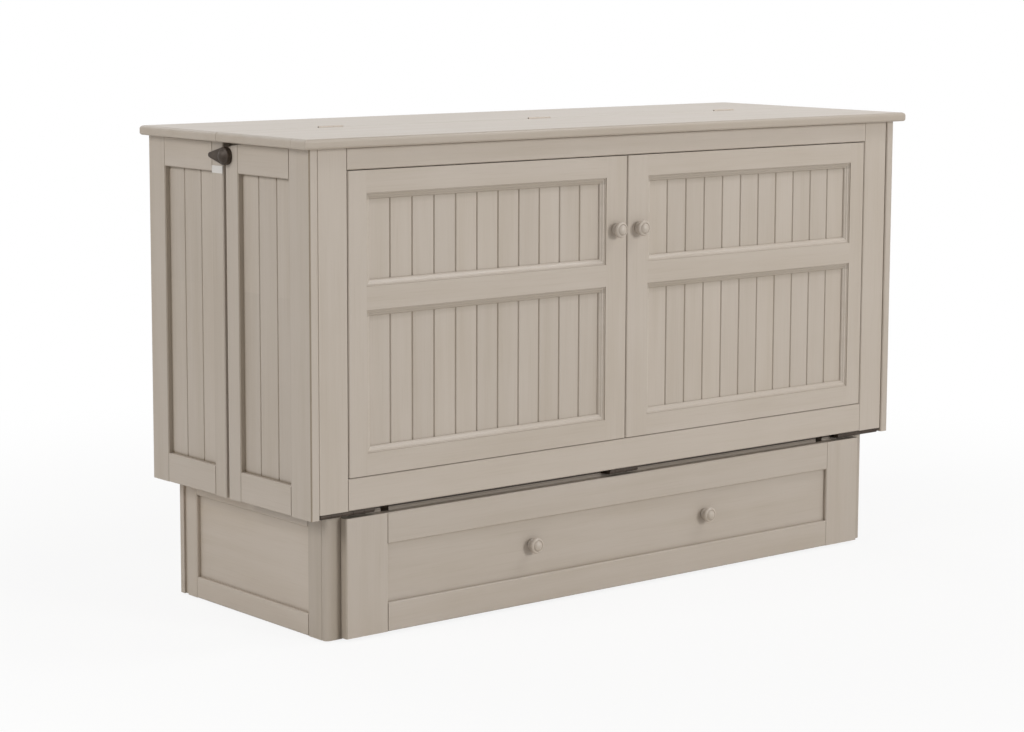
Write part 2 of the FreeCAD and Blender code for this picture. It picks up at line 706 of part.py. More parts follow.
def eased_post(x0, x1, z0, z1, eased_x):
    """A door stile whose outer edge alone is eased, so that its rails run on without a line."""
    inward = arris if eased_x == x0 else -arris
    other = x1 if eased_x == x0 else x0
    points = [(eased_x, face + arris), (eased_x + inward, face), (other, face),
              (other, face_back), (eased_x, face_back)]
    return prism(points, "z", z0, z1)


def front_sections():
    """The side sections that tip with the front."""
    y0, y1 = face - section_front_lip, section_gap_front
    side_section("front_side", y0, y0 + section_front_lip + front_near_stile,
                 y1 - front_far_stile, y1, True)


def slat_x(index):
    """Left edge of a slat of the comb deck."""
    return -slat_span / 2 + index * (slat_width + slat_gap)


def front_decks():
    """Comb deck: fixed slats in the front box, and sliding slats between them."""
    ledger_back = deck_back - 2 * slide_play
    half = slat_span / 2
    ledgers = [box(-half, half, face_back, ledger_back, z, z + ledger_thick)
               for z in (lower_ledger_z, upper_ledger_z)]
    save("middle_deck_ledgers", ledgers)

    low, high = lower_ledger_z, upper_ledger_z + ledger_thick
    fixed, sliding = [], []
    for index in range(slat_count):
        x = slat_x(index)
        if index % 2 == 0:
            slat = box(x, x + slat_width, deck_back, deck_face, low, high)
            for z in (lower_ledger_z, upper_ledger_z):
                slat = slat.fuse(box(x, x + slat_width, ledger_back, deck_back, z,
                                     z + ledger_thick))
            fixed.append(slat.removeSplitter())
        else:
            sliding.append(box(x, x + slat_width, deck_back - slide_play, deck_face,
                               batten_z, foot_rail_z))
    save("middle_deck_slats", fixed)
    save("foot_deck_slats", sliding)

    rail_in = half + side_rail_gap
    rail_out = rail_in + side_rail_thick
    rail_y0 = deck_face - side_rail_depth
    groove_mid = (rail_y0 + deck_face) / 2
    rail = box(rail_in, rail_out, rail_y0, deck_face, batten_z, foot_rail_top)
    half_groove = guide_width / 2 + guide_play
    rail = rail.cut(box(rail_out - guide_bite - guide_play, rail_out + 1, groove_mid - half_groove,
                        groove_mid + half_groove, batten_z - 1, foot_rail_top + 1))
    save("foot_deck_side_rails", pair(rail))
    strip = box(rail_out - guide_bite, side_in, groove_mid - guide_width / 2,
                groove_mid + guide_width / 2, batten_z, upper_ledger_z + ledger_thick)
    save("foot_deck_runner_strips", pair(strip))

    under = deck_back - slide_play
    foot = box(-rail_in, rail_in, under, deck_face, foot_rail_z, foot_rail_top)
    batten = box(-rail_in, rail_in, under - batten_thick, under, batten_z, batten_z + batten_width)
    save("foot_deck_cross_rails", [foot, batten])


def foot_legs():
    """Two legs that swing down sideways from under the foot rail, on U brackets."""
    under = deck_back - slide_play
    leg_y0 = face_back + leg_back_gap
    leg_mid = leg_y0 + leg_section / 2
    leg_z1 = foot_rail_top - ear_thick - ear_play
    leg_z0 = leg_z1 - leg_section
    plate_z0 = leg_z0 - ear_play - ear_thick
    ear_half = leg_section / 2 + ear_margin
    bracket = box(leg_x - ear_half, leg_x + ear_half, under - bracket_plate, under, plate_z0,
                  foot_rail_top)
    for z in (plate_z0, foot_rail_top - ear_thick):
        bracket = bracket.fuse(box(leg_x - ear_half, leg_x + ear_half, leg_y0, under, z,
                                   z + ear_thick))
    bracket = bracket.fuse(cylinder(leg_pin_radius, foot_rail_top - plate_z0,
                                    V(leg_x, leg_mid, plate_z0), V(0, 0, 1)))
    save("foot_leg_brackets", pair(bracket.removeSplitter()))

    height = pivot_z + (leg_mid - pivot_y)
    reach = height - leg_floor_gap
    leg = stick(leg_x - reach, leg_x, leg_y0, leg_y0 + leg_section, leg_z0, leg_z1, "x")
    leg = leg.fuse(cylinder(leg_section / 2, leg_section, V(leg_x, leg_mid, leg_z0), V(0, 0, 1)))
    leg = leg.cut(cylinder(leg_pin_radius + pin_play, leg_section + 2,
                           V(leg_x, leg_mid, leg_z0 - 1), V(0, 0, 1)))
    save("foot_leg_right", leg)
    save("foot_leg_left", mirrored(leg))


# ---------------------------------------------------------------- head deck and mattress
def head_deck():
    """Bearers on the cabinet's floor, and the slats across them."""
    y0, y1 = face_back + head_deck_front, back_inner
    bearers = []
    for index in range(bearer_count):
        x = -slat_span / 2 + index * (slat_span - bearer_width) / (bearer_count - 1)
        bearers.append(box(x, x + bearer_width, y0, y1, base_height + floor_board_thick,
                           deck_under))
    save("head_deck_bearers", bearers)
    step = (y1 - y0 - slat_width) / (head_slat_count - 1)
    slats = [stick(-slat_span / 2, slat_span / 2, y0 + index * step, y0 + index * step + slat_width,
                   deck_under, deck_top, "x") for index in range(head_slat_count)]
    save("head_deck_slats", slats)


def rounded_outline(x0, x1, z0, z1, y, radius):
    """A rectangle with round corners, standing upright at the given depth."""
    edges = []
    corners = [(x1 - radius, z1 - radius), (x0 + radius, z1 - radius),
               (x0 + radius, z0 + radius), (x1 - radius, z0 + radius)]
    quarter = math.pi / 2
    points = []
    for index, (cx, cz) in enumerate(corners):
        trio = []
        for turn in (0, 0.5, 1):
            angle = (index + turn) * quarter
            trio.append(V(cx + radius * math.cos(angle), y, cz + radius * math.sin(angle)))
        points.append(trio)
    for index, trio in enumerate(points):
        edges.append(arc(*trio))
        edges.append(line(trio[2], points[(index + 1) % 4][0]))
    return Part.Wire(edges)


def mattress():
    """Three thirds of the folding mattress, standing folded on the head deck."""
    half = mattress_width / 2
    z0 = deck_top + mattress_rest
    z1 = z0 + mattress_length_third
    names = ("mattress_head_third", "mattress_middle_third", "mattress_foot_third")
    for index, name in enumerate(names):
        y1 = back_inner - mattress_back_gap - index * (mattress_thick + mattress_gap)
        y0 = y1 - mattress_thick
        near = [(depth * mattress_crown, inset * mattress_crown) for depth, inset in mattress_edge]
        steps = near + [(mattress_thick / 2, mattress_drawn)]
        steps += [(mattress_thick - depth, inset) for depth, inset in reversed(near)]
        wires = []
        for depth, inset in steps:
            side = inset * mattress_side_share
            wires.append(rounded_outline(-half + side, half - side,
                                         z0 + inset * mattress_foot_share, z1 - side,
                                         y0 + depth, mattress_corner))
        save(name, Part.makeLoft(wires, True, True))


# ---------------------------------------------------------------- drawer
def drawer():
    """Framed drawer front, drawer box, knobs and steel slides."""
    low, high = drawer_bottom_gap, drawer_top
    edge, inner = drawer_half_width, drawer_half_width - drawer_stile
    y0, y1 = drawer_face, drawer_back
    save("drawer_front_stiles", pair(stick(inner, edge, y0, y1, low, high, "z")))
    save("drawer_front_rails", [stick(-inner, inner, y0, y1, high - drawer_rail_upper, high, "x"),
                                stick(-inner, inner, y0, y1, low, low + drawer_rail_lower, "x")])
    save("drawer_front_panel", box(-inner, inner, y0 + drawer_panel_recess,
                                   y0 + drawer_panel_recess + drawer_panel_thick,
                                   low + drawer_rail_lower, high - drawer_rail_upper))
    seat = y0 + drawer_panel_recess
    save("drawer_knobs", pair(knob(drawer_knob_x, drawer_knob_z, seat)))

    half, thick = drawer_box_half, drawer_side_thick
    back = drawer_box_back
    z0, z1 = drawer_box_bottom, drawer_box_top
    save("drawer_box_sides", pair(box(half - thick, half, y1, back, z0, z1)))
    ends = [box(-half + thick, half - thick, y1, y1 + thick, z0, z1),
            box(-half + thick, half - thick, back - thick, back, z0, z1)]
    save("drawer_box_ends", ends)
    floor_z = z0 + drawer_floor_lift
    save("drawer_floor", box(-half + thick, half - thick, y1 + thick, back - thick, floor_z,
                             floor_z + drawer_floor_thick))

    outer = base_half_width - post_width
    sheet = runner_sheet
    z_low, z_high = runner_z, runner_z + runner_height
    inset = sheet + runner_play
    fixed = [(outer, z_low), (outer, z_high), (half + inset, z_high), (half + inset, z_high - sheet),
             (outer - sheet, z_high - sheet), (outer - sheet, z_low + sheet),
             (half + inset, z_low + sheet), (half + inset, z_low)]
    moving = [(half, z_low + inset), (half, z_high - inset), (outer - inset, z_high - inset),
              (outer - inset, z_high - inset - sheet), (half + sheet, z_high - inset - sheet),
              (half + sheet, z_low + inset + sheet), (outer - inset, z_low + inset + sheet),
              (outer - inset, z_low + inset)]
    run_y0, run_y1 = base_front, back
    save("drawer_runner_channels", pair(prism([(z, x) for x, z in fixed], "y", run_y0, run_y1)))
    save("drawer_runner_slides", pair(prism([(z, x) for x, z in moving], "y", run_y0, run_y1)))


# ---------------------------------------------------------------- latches and tag
def latches():
    """A turning lever on each side, reaching over the gap to a flat keeper."""
    hub_y = section_gap_front - latch_setback
    x = side_out
    base_x = x + latch_base_thick
    lever_x = base_x + latch_gap
    plate = cylinder(latch_radius, latch_base_thick, V(x, hub_y, latch_z), V(1, 0, 0))
    stud = cylinder(latch_pin_radius, latch_base_thick + latch_gap + latch_lever_thick,
                    V(x, hub_y, latch_z), V(1, 0, 0))
    save("latch_bases", pair(plate.fuse(stud).removeSplitter()))

    r, tip, reach = latch_radius, latch_tip_radius, latch_reach
    lean = math.acos((r - tip) / reach)
    cos_l, sin_l = math.cos(lean), math.sin(lean)

    def at(cy, radius, c, s):
        return V(lever_x, hub_y + cy + radius * c, latch_z + radius * s)

    edges = [arc(at(0, r, cos_l, sin_l), at(0, r, -1, 0), at(0, r, cos_l, -sin_l)),
             line(at(0, r, cos_l, -sin_l), at(reach, tip, cos_l, -sin_l)),
             arc(at(reach, tip, cos_l, -sin_l), at(reach, tip, 1, 0), at(reach, tip, cos_l, sin_l)),
             line(at(reach, tip, cos_l, sin_l), at(0, r, cos_l, sin_l))]
    lever = Part.Face(Part.Wire(edges)).extrude(V(latch_lever_thick, 0, 0))
    dome = Part.makeCone(r - latch_dome_rim, latch_dome_top, latch_dome,
                         V(lever_x + latch_lever_thick, hub_y, latch_z), V(1, 0, 0))
    lever = lever.fuse(dome).cut(cylinder(latch_pin_radius + pin_play, latch_lever_thick + 0.1,
                                          V(lever_x - 0.05, hub_y, latch_z), V(1, 0, 0)))
    lever = lever.removeSplitter()
    save("latch_lever_right", lever)
    save("latch_lever_left", mirrored(lever))

    keeper_y = section_gap_rear + keeper_setback
    keeper = box(x, base_x, keeper_y, keeper_y + keeper_length, latch_z - keeper_height / 2,
                 latch_z + keeper_height / 2)
    save("latch_keepers", pair(keeper))
    tag_y, tag_z = section_gap_rear + tag_setback, latch_z - latch_radius - tag_height - tag_drop
    save("blank_tag", box(-x - tag_thick, -x, tag_y, tag_y + tag_width, tag_z,
                          tag_z + tag_height))


base_frame()
rear_half()
flap_hinges()
lid()
front_hinges()
front_frame()
doors()
front_sections()
front_decks()
foot_legs()
head_deck()
mattress()
drawer()
latches()
print("deck height %.1f, slide travel %.1f, pivot (%.1f, %.1f)" % (deck_top, slide_travel,
                                                                   pivot_y, pivot_z))
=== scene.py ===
"""Cabinet bed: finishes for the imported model, turned knobs, latch levers and the folded mattress.

Laid out as an add-on and run as a script.  Everything is in metres in the frame of the part:
+X to the right seen from the front, +Y from the front to the back, +Z up.
"""
import math
from collections import namedtuple

import bmesh
import bpy
from bpy.props import FloatProperty, FloatVectorProperty, PointerProperty
from bpy.types import Operator, Panel, PropertyGroup
from mathutils import Matrix, Vector
from mathutils.bvhtree import BVHTree


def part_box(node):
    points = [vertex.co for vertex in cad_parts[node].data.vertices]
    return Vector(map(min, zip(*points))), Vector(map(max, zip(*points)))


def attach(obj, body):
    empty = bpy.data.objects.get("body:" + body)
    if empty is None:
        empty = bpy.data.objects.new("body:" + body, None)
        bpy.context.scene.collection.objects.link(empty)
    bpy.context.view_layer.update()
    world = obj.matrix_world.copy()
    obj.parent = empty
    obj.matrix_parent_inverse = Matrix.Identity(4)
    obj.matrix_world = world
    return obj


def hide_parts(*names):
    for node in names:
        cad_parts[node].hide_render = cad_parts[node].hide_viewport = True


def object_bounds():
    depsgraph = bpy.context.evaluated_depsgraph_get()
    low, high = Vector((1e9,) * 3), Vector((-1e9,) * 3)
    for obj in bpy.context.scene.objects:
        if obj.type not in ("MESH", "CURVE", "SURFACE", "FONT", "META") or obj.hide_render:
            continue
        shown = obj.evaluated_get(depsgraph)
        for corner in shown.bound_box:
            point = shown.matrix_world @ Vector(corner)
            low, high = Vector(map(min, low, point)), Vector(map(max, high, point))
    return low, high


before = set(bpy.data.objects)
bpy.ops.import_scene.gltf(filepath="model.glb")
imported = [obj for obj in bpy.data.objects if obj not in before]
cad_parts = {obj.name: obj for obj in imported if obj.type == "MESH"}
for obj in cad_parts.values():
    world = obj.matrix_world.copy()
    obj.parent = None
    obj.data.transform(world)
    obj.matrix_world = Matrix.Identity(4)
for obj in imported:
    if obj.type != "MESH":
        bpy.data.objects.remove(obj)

bl_info = {
    "name": "Cabinet bed finishes",
    "version": (1, 0, 0),
    "blender": (4, 5, 0),
    "location": "3D View > Sidebar > Cabinet bed",
    "description": "Paints, timbers, hardware and mattress of a folding cabinet bed",
    "category": "Object",
}

cad_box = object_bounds()
MM = 0.001

# Places that the paint needs and the frame doesn't name, in metres
BAY_HEAD = 0.660         # upper edge of the doors' lower panels
DOOR_GROOVE = 0.1245     # X of one groove between the doors' planks
FRONT_GROOVE = -0.153    # Y of one groove in the front side panels
REAR_GROOVE = 0.1185     # Y of one groove in the rear side panels
PANEL_ROW = 1.464        # times a height, it passes 1 between the doors' two rows of panels

# Glaze left at a place: the place by axis, how far it has its whole share, how far it goes
# in all, and that share
Mark = namedtuple("Mark", "at full reach share")
WHOLE = 0.7              # part of an edge's glaze that has its whole share


def linear(code):
    """An sRGB hex value in the linear values that a shader takes."""
    parts = [int(code[i:i + 2], 16) / 255 for i in (1, 3, 5)]
    return [c / 12.92 if c <= 0.04045 else ((c + 0.055) / 1.055) ** 2.4 for c in parts]


def colour(name, code, about):
    """A colour for the panel, from its sRGB hex value."""
    return FloatVectorProperty(name=name, description=about, subtype="COLOR", size=3,
                               min=0.0, max=1.0, default=linear(code))


def length(name, millimetres, about):
    """A length for the panel, from its millimetres."""
    return FloatProperty(name=name, description=about, unit="LENGTH", min=0.0,
                         default=millimetres * MM)


# ------------------------------------------------------------------ what a user would change
class PaintSettings(PropertyGroup):
    paint: colour("Paint", "#BDB2A6", "Greige lacquer on the flat faces")
    wash: colour("Wash", "#ADA08F", "Thin brown wash that lies in the brush strokes")
    glaze: colour("Glaze", "#766750", "Dark glaze left in grooves, joints and corners")
    glaze_reach: length("Glaze reach", 9.0, "How far the glaze fades out of a corner")
    glaze_kept: FloatProperty(name="Glaze kept", description="Share left in plain corners",
                              min=0.0, max=1.0, default=0.34)
    edge_reach: length("Edge glaze", 3.0, "How far the glaze fades out from a joint's edge")
    stroke: length("Brush stroke", 2.2, "Width of one brush stroke")
    sheen: FloatProperty(name="Polish", description="Rubbed wax coat on the top", min=0.0,
                         max=1.0, default=0.32)
    strip: colour("Hinge shadow", "#3E332B", "Dark stain on the rail behind the hinges")
    plank: length("Plank", 54.8, "Width of a plank in the doors")
    side_plank: length("Side plank", 62.5, "Width of a plank in the side sections")


class TimberSettings(PropertyGroup):
    pine: colour("Pine", "#D9B98A", "Planed spruce or pine of the slats")
    pine_late: colour("Late wood", "#BE915C", "Darker lines of the growth rings")
    ply: colour("Plywood", "#CDB48B", "Birch plywood of the drawer and floor")
    ply_late: colour("Plywood figure", "#B5976A", "Darker figure of the birch")
    ring: length("Growth ring", 5.0, "Distance between two growth rings on a slat's face")


class HardwareSettings(PropertyGroup):
    bronze: colour("Bronze", "#3E332A", "Oil-rubbed bronze of hinges and latches")
    bronze_worn: colour("Worn bronze", "#504338", "Where fingers have worn the bronze")
    zinc: colour("Zinc", "#A9ACAE", "Zinc plate on the drawer slides and brackets")
    zinc_worn: colour("Worn zinc", "#C6C8C9", "Where the zinc has been rubbed bright")
    legs: colour("Leg coating", "#26262A", "Powder coat on the fold-down legs")
    legs_worn: colour("Worn coating", "#34343A", "Where the powder coat has been rubbed")
    nylon: colour("Nylon", "#D8D7D2", "Moulded nylon of the floor glides")
    card: colour("Card", "#DAD6D1", "Plain card of the blank tag")
    knob_radius: length("Knob radius", 17.0, "Largest radius of a turned knob")
    lever_round: length("Lever rounding", 2.2, "Rounding of the latch lever's edges")


class MattressSettings(PropertyGroup):
    cover: colour("Cover", "#E9E6DF", "Knitted cover of the mattress")
    border: colour("Border", "#D3CFC6", "Woven border round each third")
    welt: colour("Welt", "#B9B2A4", "Taped welt along the seams")
    quilt: length("Quilting", 96.0, "Distance between two rows of quilting")
    quilt_depth: length("Quilting depth", 3.4, "How deep the quilting seams pull the cover in")
    swell: length("Swell", 5.0, "Most that the cover may swell under pressure")


class StageSettings(PropertyGroup):
    floor: colour("Floor", "#F4F3F1", "Pale studio floor")
    backdrop: colour("Backdrop", "#FFFFFF", "What the camera sees past the floor")
    key: FloatProperty(name="Key lamp", description="Soft lamp on the front right",
                       unit="POWER", min=0.0, default=730.0)
    side: FloatProperty(name="Side lamp", description="Soft lamp on the left", unit="POWER",
                        min=0.0, default=265.0)
    top: FloatProperty(name="Top lamp", description="Soft lamp overhead", unit="POWER",
                       min=0.0, default=36.0)
    back: FloatProperty(name="Back lamp", description="Soft lamp behind, for the back board",
                        unit="POWER", min=0.0, default=420.0)
    fill: FloatProperty(name="Room light", description="Even light from all round",
                        min=0.0, default=0.31)


# ------------------------------------------------------------------ nodes and materials
def add(tree, kind, inputs=None, **settings):
    """Adds a node with its settings; each input takes a value or another node's socket."""
    node = tree.nodes.new(kind)
    for name, value in settings.items():
        setattr(node, name, value)
    for name, value in (inputs or {}).items():
        socket = node.inputs[name]
        if isinstance(value, bpy.types.NodeSocket):
            tree.links.new(value, socket)
        else:
            socket.default_value = value
    return node


def opened(name):
    """A new material with an empty tree: the tree, its shader, and its object coordinates."""
    material = bpy.data.materials.new(name)
    material.use_nodes = True
    tree = material.node_tree
    tree.nodes.clear()
    shader = add(tree, "ShaderNodeBsdfPrincipled")
    add(tree, "ShaderNodeOutputMaterial", {"Surface": shader.outputs["BSDF"]})
    place = add(tree, "ShaderNodeTexCoord").outputs["Object"]
    return material, tree, shader, place


def surfaced(tree, shader, tint, rough, height, strength, depth):
    """Finishes a shader: its colour, its roughness as a socket or a number, and its bump."""
    tree.links.new(tint, shader.inputs["Base Color"])
    if isinstance(rough, bpy.types.NodeSocket):
        tree.links.new(rough, shader.inputs["Roughness"])
    else:
        shader.inputs["Roughness"].default_value = rough
    bump = add(tree, "ShaderNodeBump", {"Height": height, "Strength": strength,
                                        "Distance": depth})
    tree.links.new(bump.outputs["Normal"], shader.inputs["Normal"])


def mottled(tree, tint, pattern, darkest, lightest, low=0.0, high=1.0):
    """A colour made darker and lighter by a pattern, whose values run from low to high."""
    value = add(tree, "ShaderNodeMapRange", {"Value": pattern, "From Min": low,
                                             "From Max": high, "To Min": darkest,
                                             "To Max": lightest})
    return add(tree, "ShaderNodeHueSaturation",
               {"Color": tint, "Value": value.outputs["Result"]}).outputs["Color"]


def solid(rgb):
    """A colour with its alpha, as a socket takes it."""
    return (*rgb, 1.0)


# Which axes lie across a grain (1), and which along it (0)
GRAINS = {"x": (0, 1, 1), "y": (1, 0, 1), "z": (1, 1, 0)}
# How fine a pattern is along its grain, as a share of how fine it is across
STROKE_DRAWN, RING_DRAWN, BRUSHED_DRAWN = 0.018, 0.035, 0.03
BOARDS_APART = (3.0, 3.0, 3.0)   # most that the figure of a board is shifted, in metres
SWEEP_RINGS = 9.0        # ring lines over the whole range of the noise that they follow
STITCH_LEAN = 1.1        # how far the stitches lean to make their V, in radians


def stretched(tree, place, grain, across, along):
    """Coordinates squeezed across the grain, so that a noise runs in lines along it."""
    scale = [along if flat == 0 else across for flat in GRAINS[grain]]
    return add(tree, "ShaderNodeMapping", {"Vector": place, "Scale": scale}).outputs["Vector"]


def glazed_paint(name, settings, grain, kept=1.0, planks=None, marks=(), polish=0.0,
                 tone=1.0, stain=None):
    """Sprayed greige lacquer over solid wood, brushed with a wash and a wiped brown glaze.

    The wash leaves faint strokes along the grain; the glaze stays in grooves and corners.
    kept scales the glaze in corners; marks are the places where it was left on by hand.
    tone makes the lacquer of one part lighter or darker; stain stands in for its glaze.
    """
    lacquer, thinned = ([c * tone for c in coat] for coat in (settings.paint, settings.wash))
    material, tree, shader, place = opened(name)
    stroke = 1.0 / settings.stroke
    fine = add(tree, "ShaderNodeTexNoise",
               {"Vector": stretched(tree, place, grain, stroke, stroke * STROKE_DRAWN),
                "Scale": 1.0, "Detail": 3.0, "Roughness": 0.6})
    broad = add(tree, "ShaderNodeTexNoise",
                {"Vector": stretched(tree, place, grain, across=26.0, along=1.6),
                 "Scale": 1.0, "Detail": 4.0, "Roughness": 0.55})
    cloud = add(tree, "ShaderNodeTexNoise", {"Vector": place, "Scale": 4.5, "Detail": 2.0})
    wash = add(tree, "ShaderNodeMapRange", {"Value": broad.outputs["Fac"], "From Min": 0.42,
                                            "From Max": 0.78, "To Min": 0.0, "To Max": 0.42})
    streak = add(tree, "ShaderNodeMapRange", {"Value": fine.outputs["Fac"], "From Min": 0.52,
                                              "From Max": 0.80, "To Min": 0.0, "To Max": 0.30})
    haze = add(tree, "ShaderNodeMapRange", {"Value": cloud.outputs["Fac"], "From Min": 0.35,
                                            "From Max": 0.70, "To Min": 0.0, "To Max": 0.16})
    amount = add(tree, "ShaderNodeMath", {0: wash.outputs["Result"], 1: streak.outputs["Result"]},
                 operation="ADD")
    amount = add(tree, "ShaderNodeMath", {0: amount.outputs[0], 1: haze.outputs["Result"]},
                 operation="ADD", use_clamp=True)
    brushed = add(tree, "ShaderNodeMix", {"Factor": amount.outputs[0], "A": solid(lacquer),
                                          "B": solid(thinned)}, data_type="RGBA")
    body = mix_out(brushed)
    if planks:
        body = plank_tone(tree, place, body, *planks)
    corner = add(tree, "ShaderNodeAmbientOcclusion", {"Distance": settings.glaze_reach},
                 samples=12)
    left = add(tree, "ShaderNodeMapRange", {"Value": corner.outputs["AO"], "From Min": 0.40,
                                            "From Max": 0.92,
                                            "To Min": settings.glaze_kept * kept, "To Max": 0.0},
               interpolation_type="SMOOTHSTEP").outputs["Result"]
    for mark in marks:
        left = add(tree, "ShaderNodeMath", {0: left, 1: glaze_mark(tree, place, *mark)},
                   operation="MAXIMUM").outputs[0]
    glazed = add(tree, "ShaderNodeMix", {"Factor": left, "A": body,
                                         "B": solid(stain or settings.glaze)},
                 data_type="RGBA")
    rough = add(tree, "ShaderNodeMapRange", {"Value": fine.outputs["Fac"], "From Min": 0.3,
                                             "From Max": 0.7, "To Min": 0.40, "To Max": 0.54})
    shader.inputs["IOR"].default_value = 1.48
    shader.inputs["Coat Weight"].default_value = polish
    shader.inputs["Coat Roughness"].default_value = 0.3
    surfaced(tree, shader, mix_out(glazed), rough.outputs["Result"], fine.outputs["Fac"],
             strength=0.16, depth=0.0004)
    return material


def glaze_mark(tree, place, at, full, reach, share):
    """Glaze left round a place: at gives its coordinates by axis, X counted from the middle.

    The glaze has its whole share as far as full, and is gone at reach.
    """
    split = add(tree, "ShaderNodeSeparateXYZ", {"Vector": place})
    side = add(tree, "ShaderNodeMath", {0: split.outputs["X"]}, operation="ABSOLUTE")
    folded = add(tree, "ShaderNodeCombineXYZ", {"X": side.outputs[0], "Y": split.outputs["Y"],
                                                "Z": split.outputs["Z"]})
    away = add(tree, "ShaderNodeVectorMath", {0: folded.outputs[0],
                                              1: [at.get(axis, 0.0) for axis in "XYZ"]},
               operation="SUBTRACT")
    counted = add(tree, "ShaderNodeVectorMath", {0: away.outputs[0],
                                                 1: [float(axis in at) for axis in "XYZ"]},
                  operation="MULTIPLY")
    far = add(tree, "ShaderNodeVectorMath", {0: counted.outputs[0]}, operation="LENGTH")
    return add(tree, "ShaderNodeMapRange", {"Value": far.outputs["Value"], "From Min": full,
                                            "From Max": reach, "To Min": share,
                                            "To Max": 0.0}).outputs["Result"]


def mix_out(node):
    """The colour output of a Mix node."""
    return next(s for s in node.outputs if s.enabled)


def plank_tone(tree, place, body, axis, pitch, first, fold):
    """Makes every plank a touch lighter or darker than the next.

    first is the place of one groove; fold is ABSOLUTE where the planks mirror about the
    middle, and otherwise SUBTRACT, which leaves the coordinate as it is.
    """
    split = add(tree, "ShaderNodeSeparateXYZ", {"Vector": place})
    far = add(tree, "ShaderNodeMath", {0: split.outputs[axis], 1: 0.0}, operation=fold)
    moved = add(tree, "ShaderNodeMath", {0: far.outputs[0], 1: -first}, operation="ADD")
    count = add(tree, "ShaderNodeMath", {0: moved.outputs[0], 1: pitch}, operation="DIVIDE")
    index = add(tree, "ShaderNodeMath", {0: count.outputs[0]}, operation="FLOOR")
    side = add(tree, "ShaderNodeMath", {0: split.outputs[axis]}, operation="SIGN")
    row = add(tree, "ShaderNodeMath", {0: split.outputs["Z"], 1: PANEL_ROW},
              operation="MULTIPLY")
    row = add(tree, "ShaderNodeMath", {0: row.outputs[0]}, operation="FLOOR")
    seed = add(tree, "ShaderNodeCombineXYZ", {"X": index.outputs[0], "Y": side.outputs[0],
                                              "Z": row.outputs[0]})
    chance = add(tree, "ShaderNodeTexWhiteNoise", {"Vector": seed.outputs[0]},
                 noise_dimensions="3D")
    return mottled(tree, body, chance.outputs["Value"], darkest=0.965, lightest=1.02)


def planed_timber(name, early, late, ring, grain, board):
    """Planed softwood: pale early wood with darker ring lines that wander along the board.

    board is the distance over which one board's shade and figure hold.
    """
    material, tree, shader, place = opened(name)
    split = add(tree, "ShaderNodeSeparateXYZ", {"Vector": place})
    across = "X" if GRAINS[grain][0] else "Y"
    count = add(tree, "ShaderNodeMath", {0: split.outputs[across], 1: board}, operation="DIVIDE")
    index = add(tree, "ShaderNodeMath", {0: count.outputs[0]}, operation="FLOOR")
    chance = add(tree, "ShaderNodeTexWhiteNoise", {"W": index.outputs[0]}, noise_dimensions="1D")
    apart = add(tree, "ShaderNodeVectorMath", {0: chance.outputs["Color"], 1: BOARDS_APART},
                operation="MULTIPLY")
    shifted = add(tree, "ShaderNodeVectorMath", {0: place, 1: apart.outputs[0]}, operation="ADD")
    lines = stretched(tree, shifted.outputs[0], grain, 1.0 / ring, RING_DRAWN / ring)
    wander = add(tree, "ShaderNodeTexNoise", {"Vector": lines, "Scale": 0.16, "Detail": 2.0})
    rings = add(tree, "ShaderNodeMath", {0: wander.outputs["Fac"], 1: SWEEP_RINGS},
                operation="MULTIPLY")
    rings = add(tree, "ShaderNodeMath", {0: rings.outputs[0]}, operation="FRACT")
    sharp = add(tree, "ShaderNodeMapRange", {"Value": rings.outputs[0], "From Min": 0.45,
                                             "From Max": 0.98, "To Min": 0.0, "To Max": 0.75},
                interpolation_type="SMOOTHSTEP")
    fibre = add(tree, "ShaderNodeTexNoise",
                {"Vector": stretched(tree, place, grain, across=1400.0, along=22.0),
                 "Scale": 1.0, "Detail": 3.0})
    tint = add(tree, "ShaderNodeMix", {"Factor": sharp.outputs["Result"], "A": solid(early),
                                       "B": solid(late)}, data_type="RGBA")
    shade = mottled(tree, mix_out(tint), chance.outputs["Value"], darkest=0.88,
                    lightest=1.06)
    rough = add(tree, "ShaderNodeMapRange", {"Value": fibre.outputs["Fac"], "To Min": 0.5,
                                             "To Max": 0.72})
    surfaced(tree, shader, shade, rough.outputs["Result"], fibre.outputs["Fac"],
             strength=0.25, depth=0.0004)
    return material


def worn_metal(name, dark, worn, metallic, roughness, grit, brushed=None):
    """Plated or coated metal: fine grit, handling marks, and a brushed direction if it has one."""
    material, tree, shader, place = opened(name)
    drawn = stretched(tree, place, brushed, 1.0, BRUSHED_DRAWN) if brushed else place
    fine = add(tree, "ShaderNodeTexNoise", {"Vector": drawn, "Scale": 1.0 / grit,
                                            "Detail": 2.0})
    marks = add(tree, "ShaderNodeTexNoise", {"Vector": place, "Scale": 38.0, "Detail": 5.0})
    rub = add(tree, "ShaderNodeMapRange", {"Value": marks.outputs["Fac"], "From Min": 0.5,
                                           "From Max": 0.72, "To Min": 0.0, "To Max": 0.7})
    tint = add(tree, "ShaderNodeMix", {"Factor": rub.outputs["Result"], "A": solid(dark),
                                       "B": solid(worn)}, data_type="RGBA")
    shader.inputs["Metallic"].default_value = metallic
    rough = add(tree, "ShaderNodeMapRange", {"Value": fine.outputs["Fac"],
                                             "To Min": roughness - 0.1,
                                             "To Max": roughness + 0.1})
    surfaced(tree, shader, mix_out(tint), rough.outputs["Result"], fine.outputs["Fac"],
             strength=0.2, depth=0.0002)
    return material


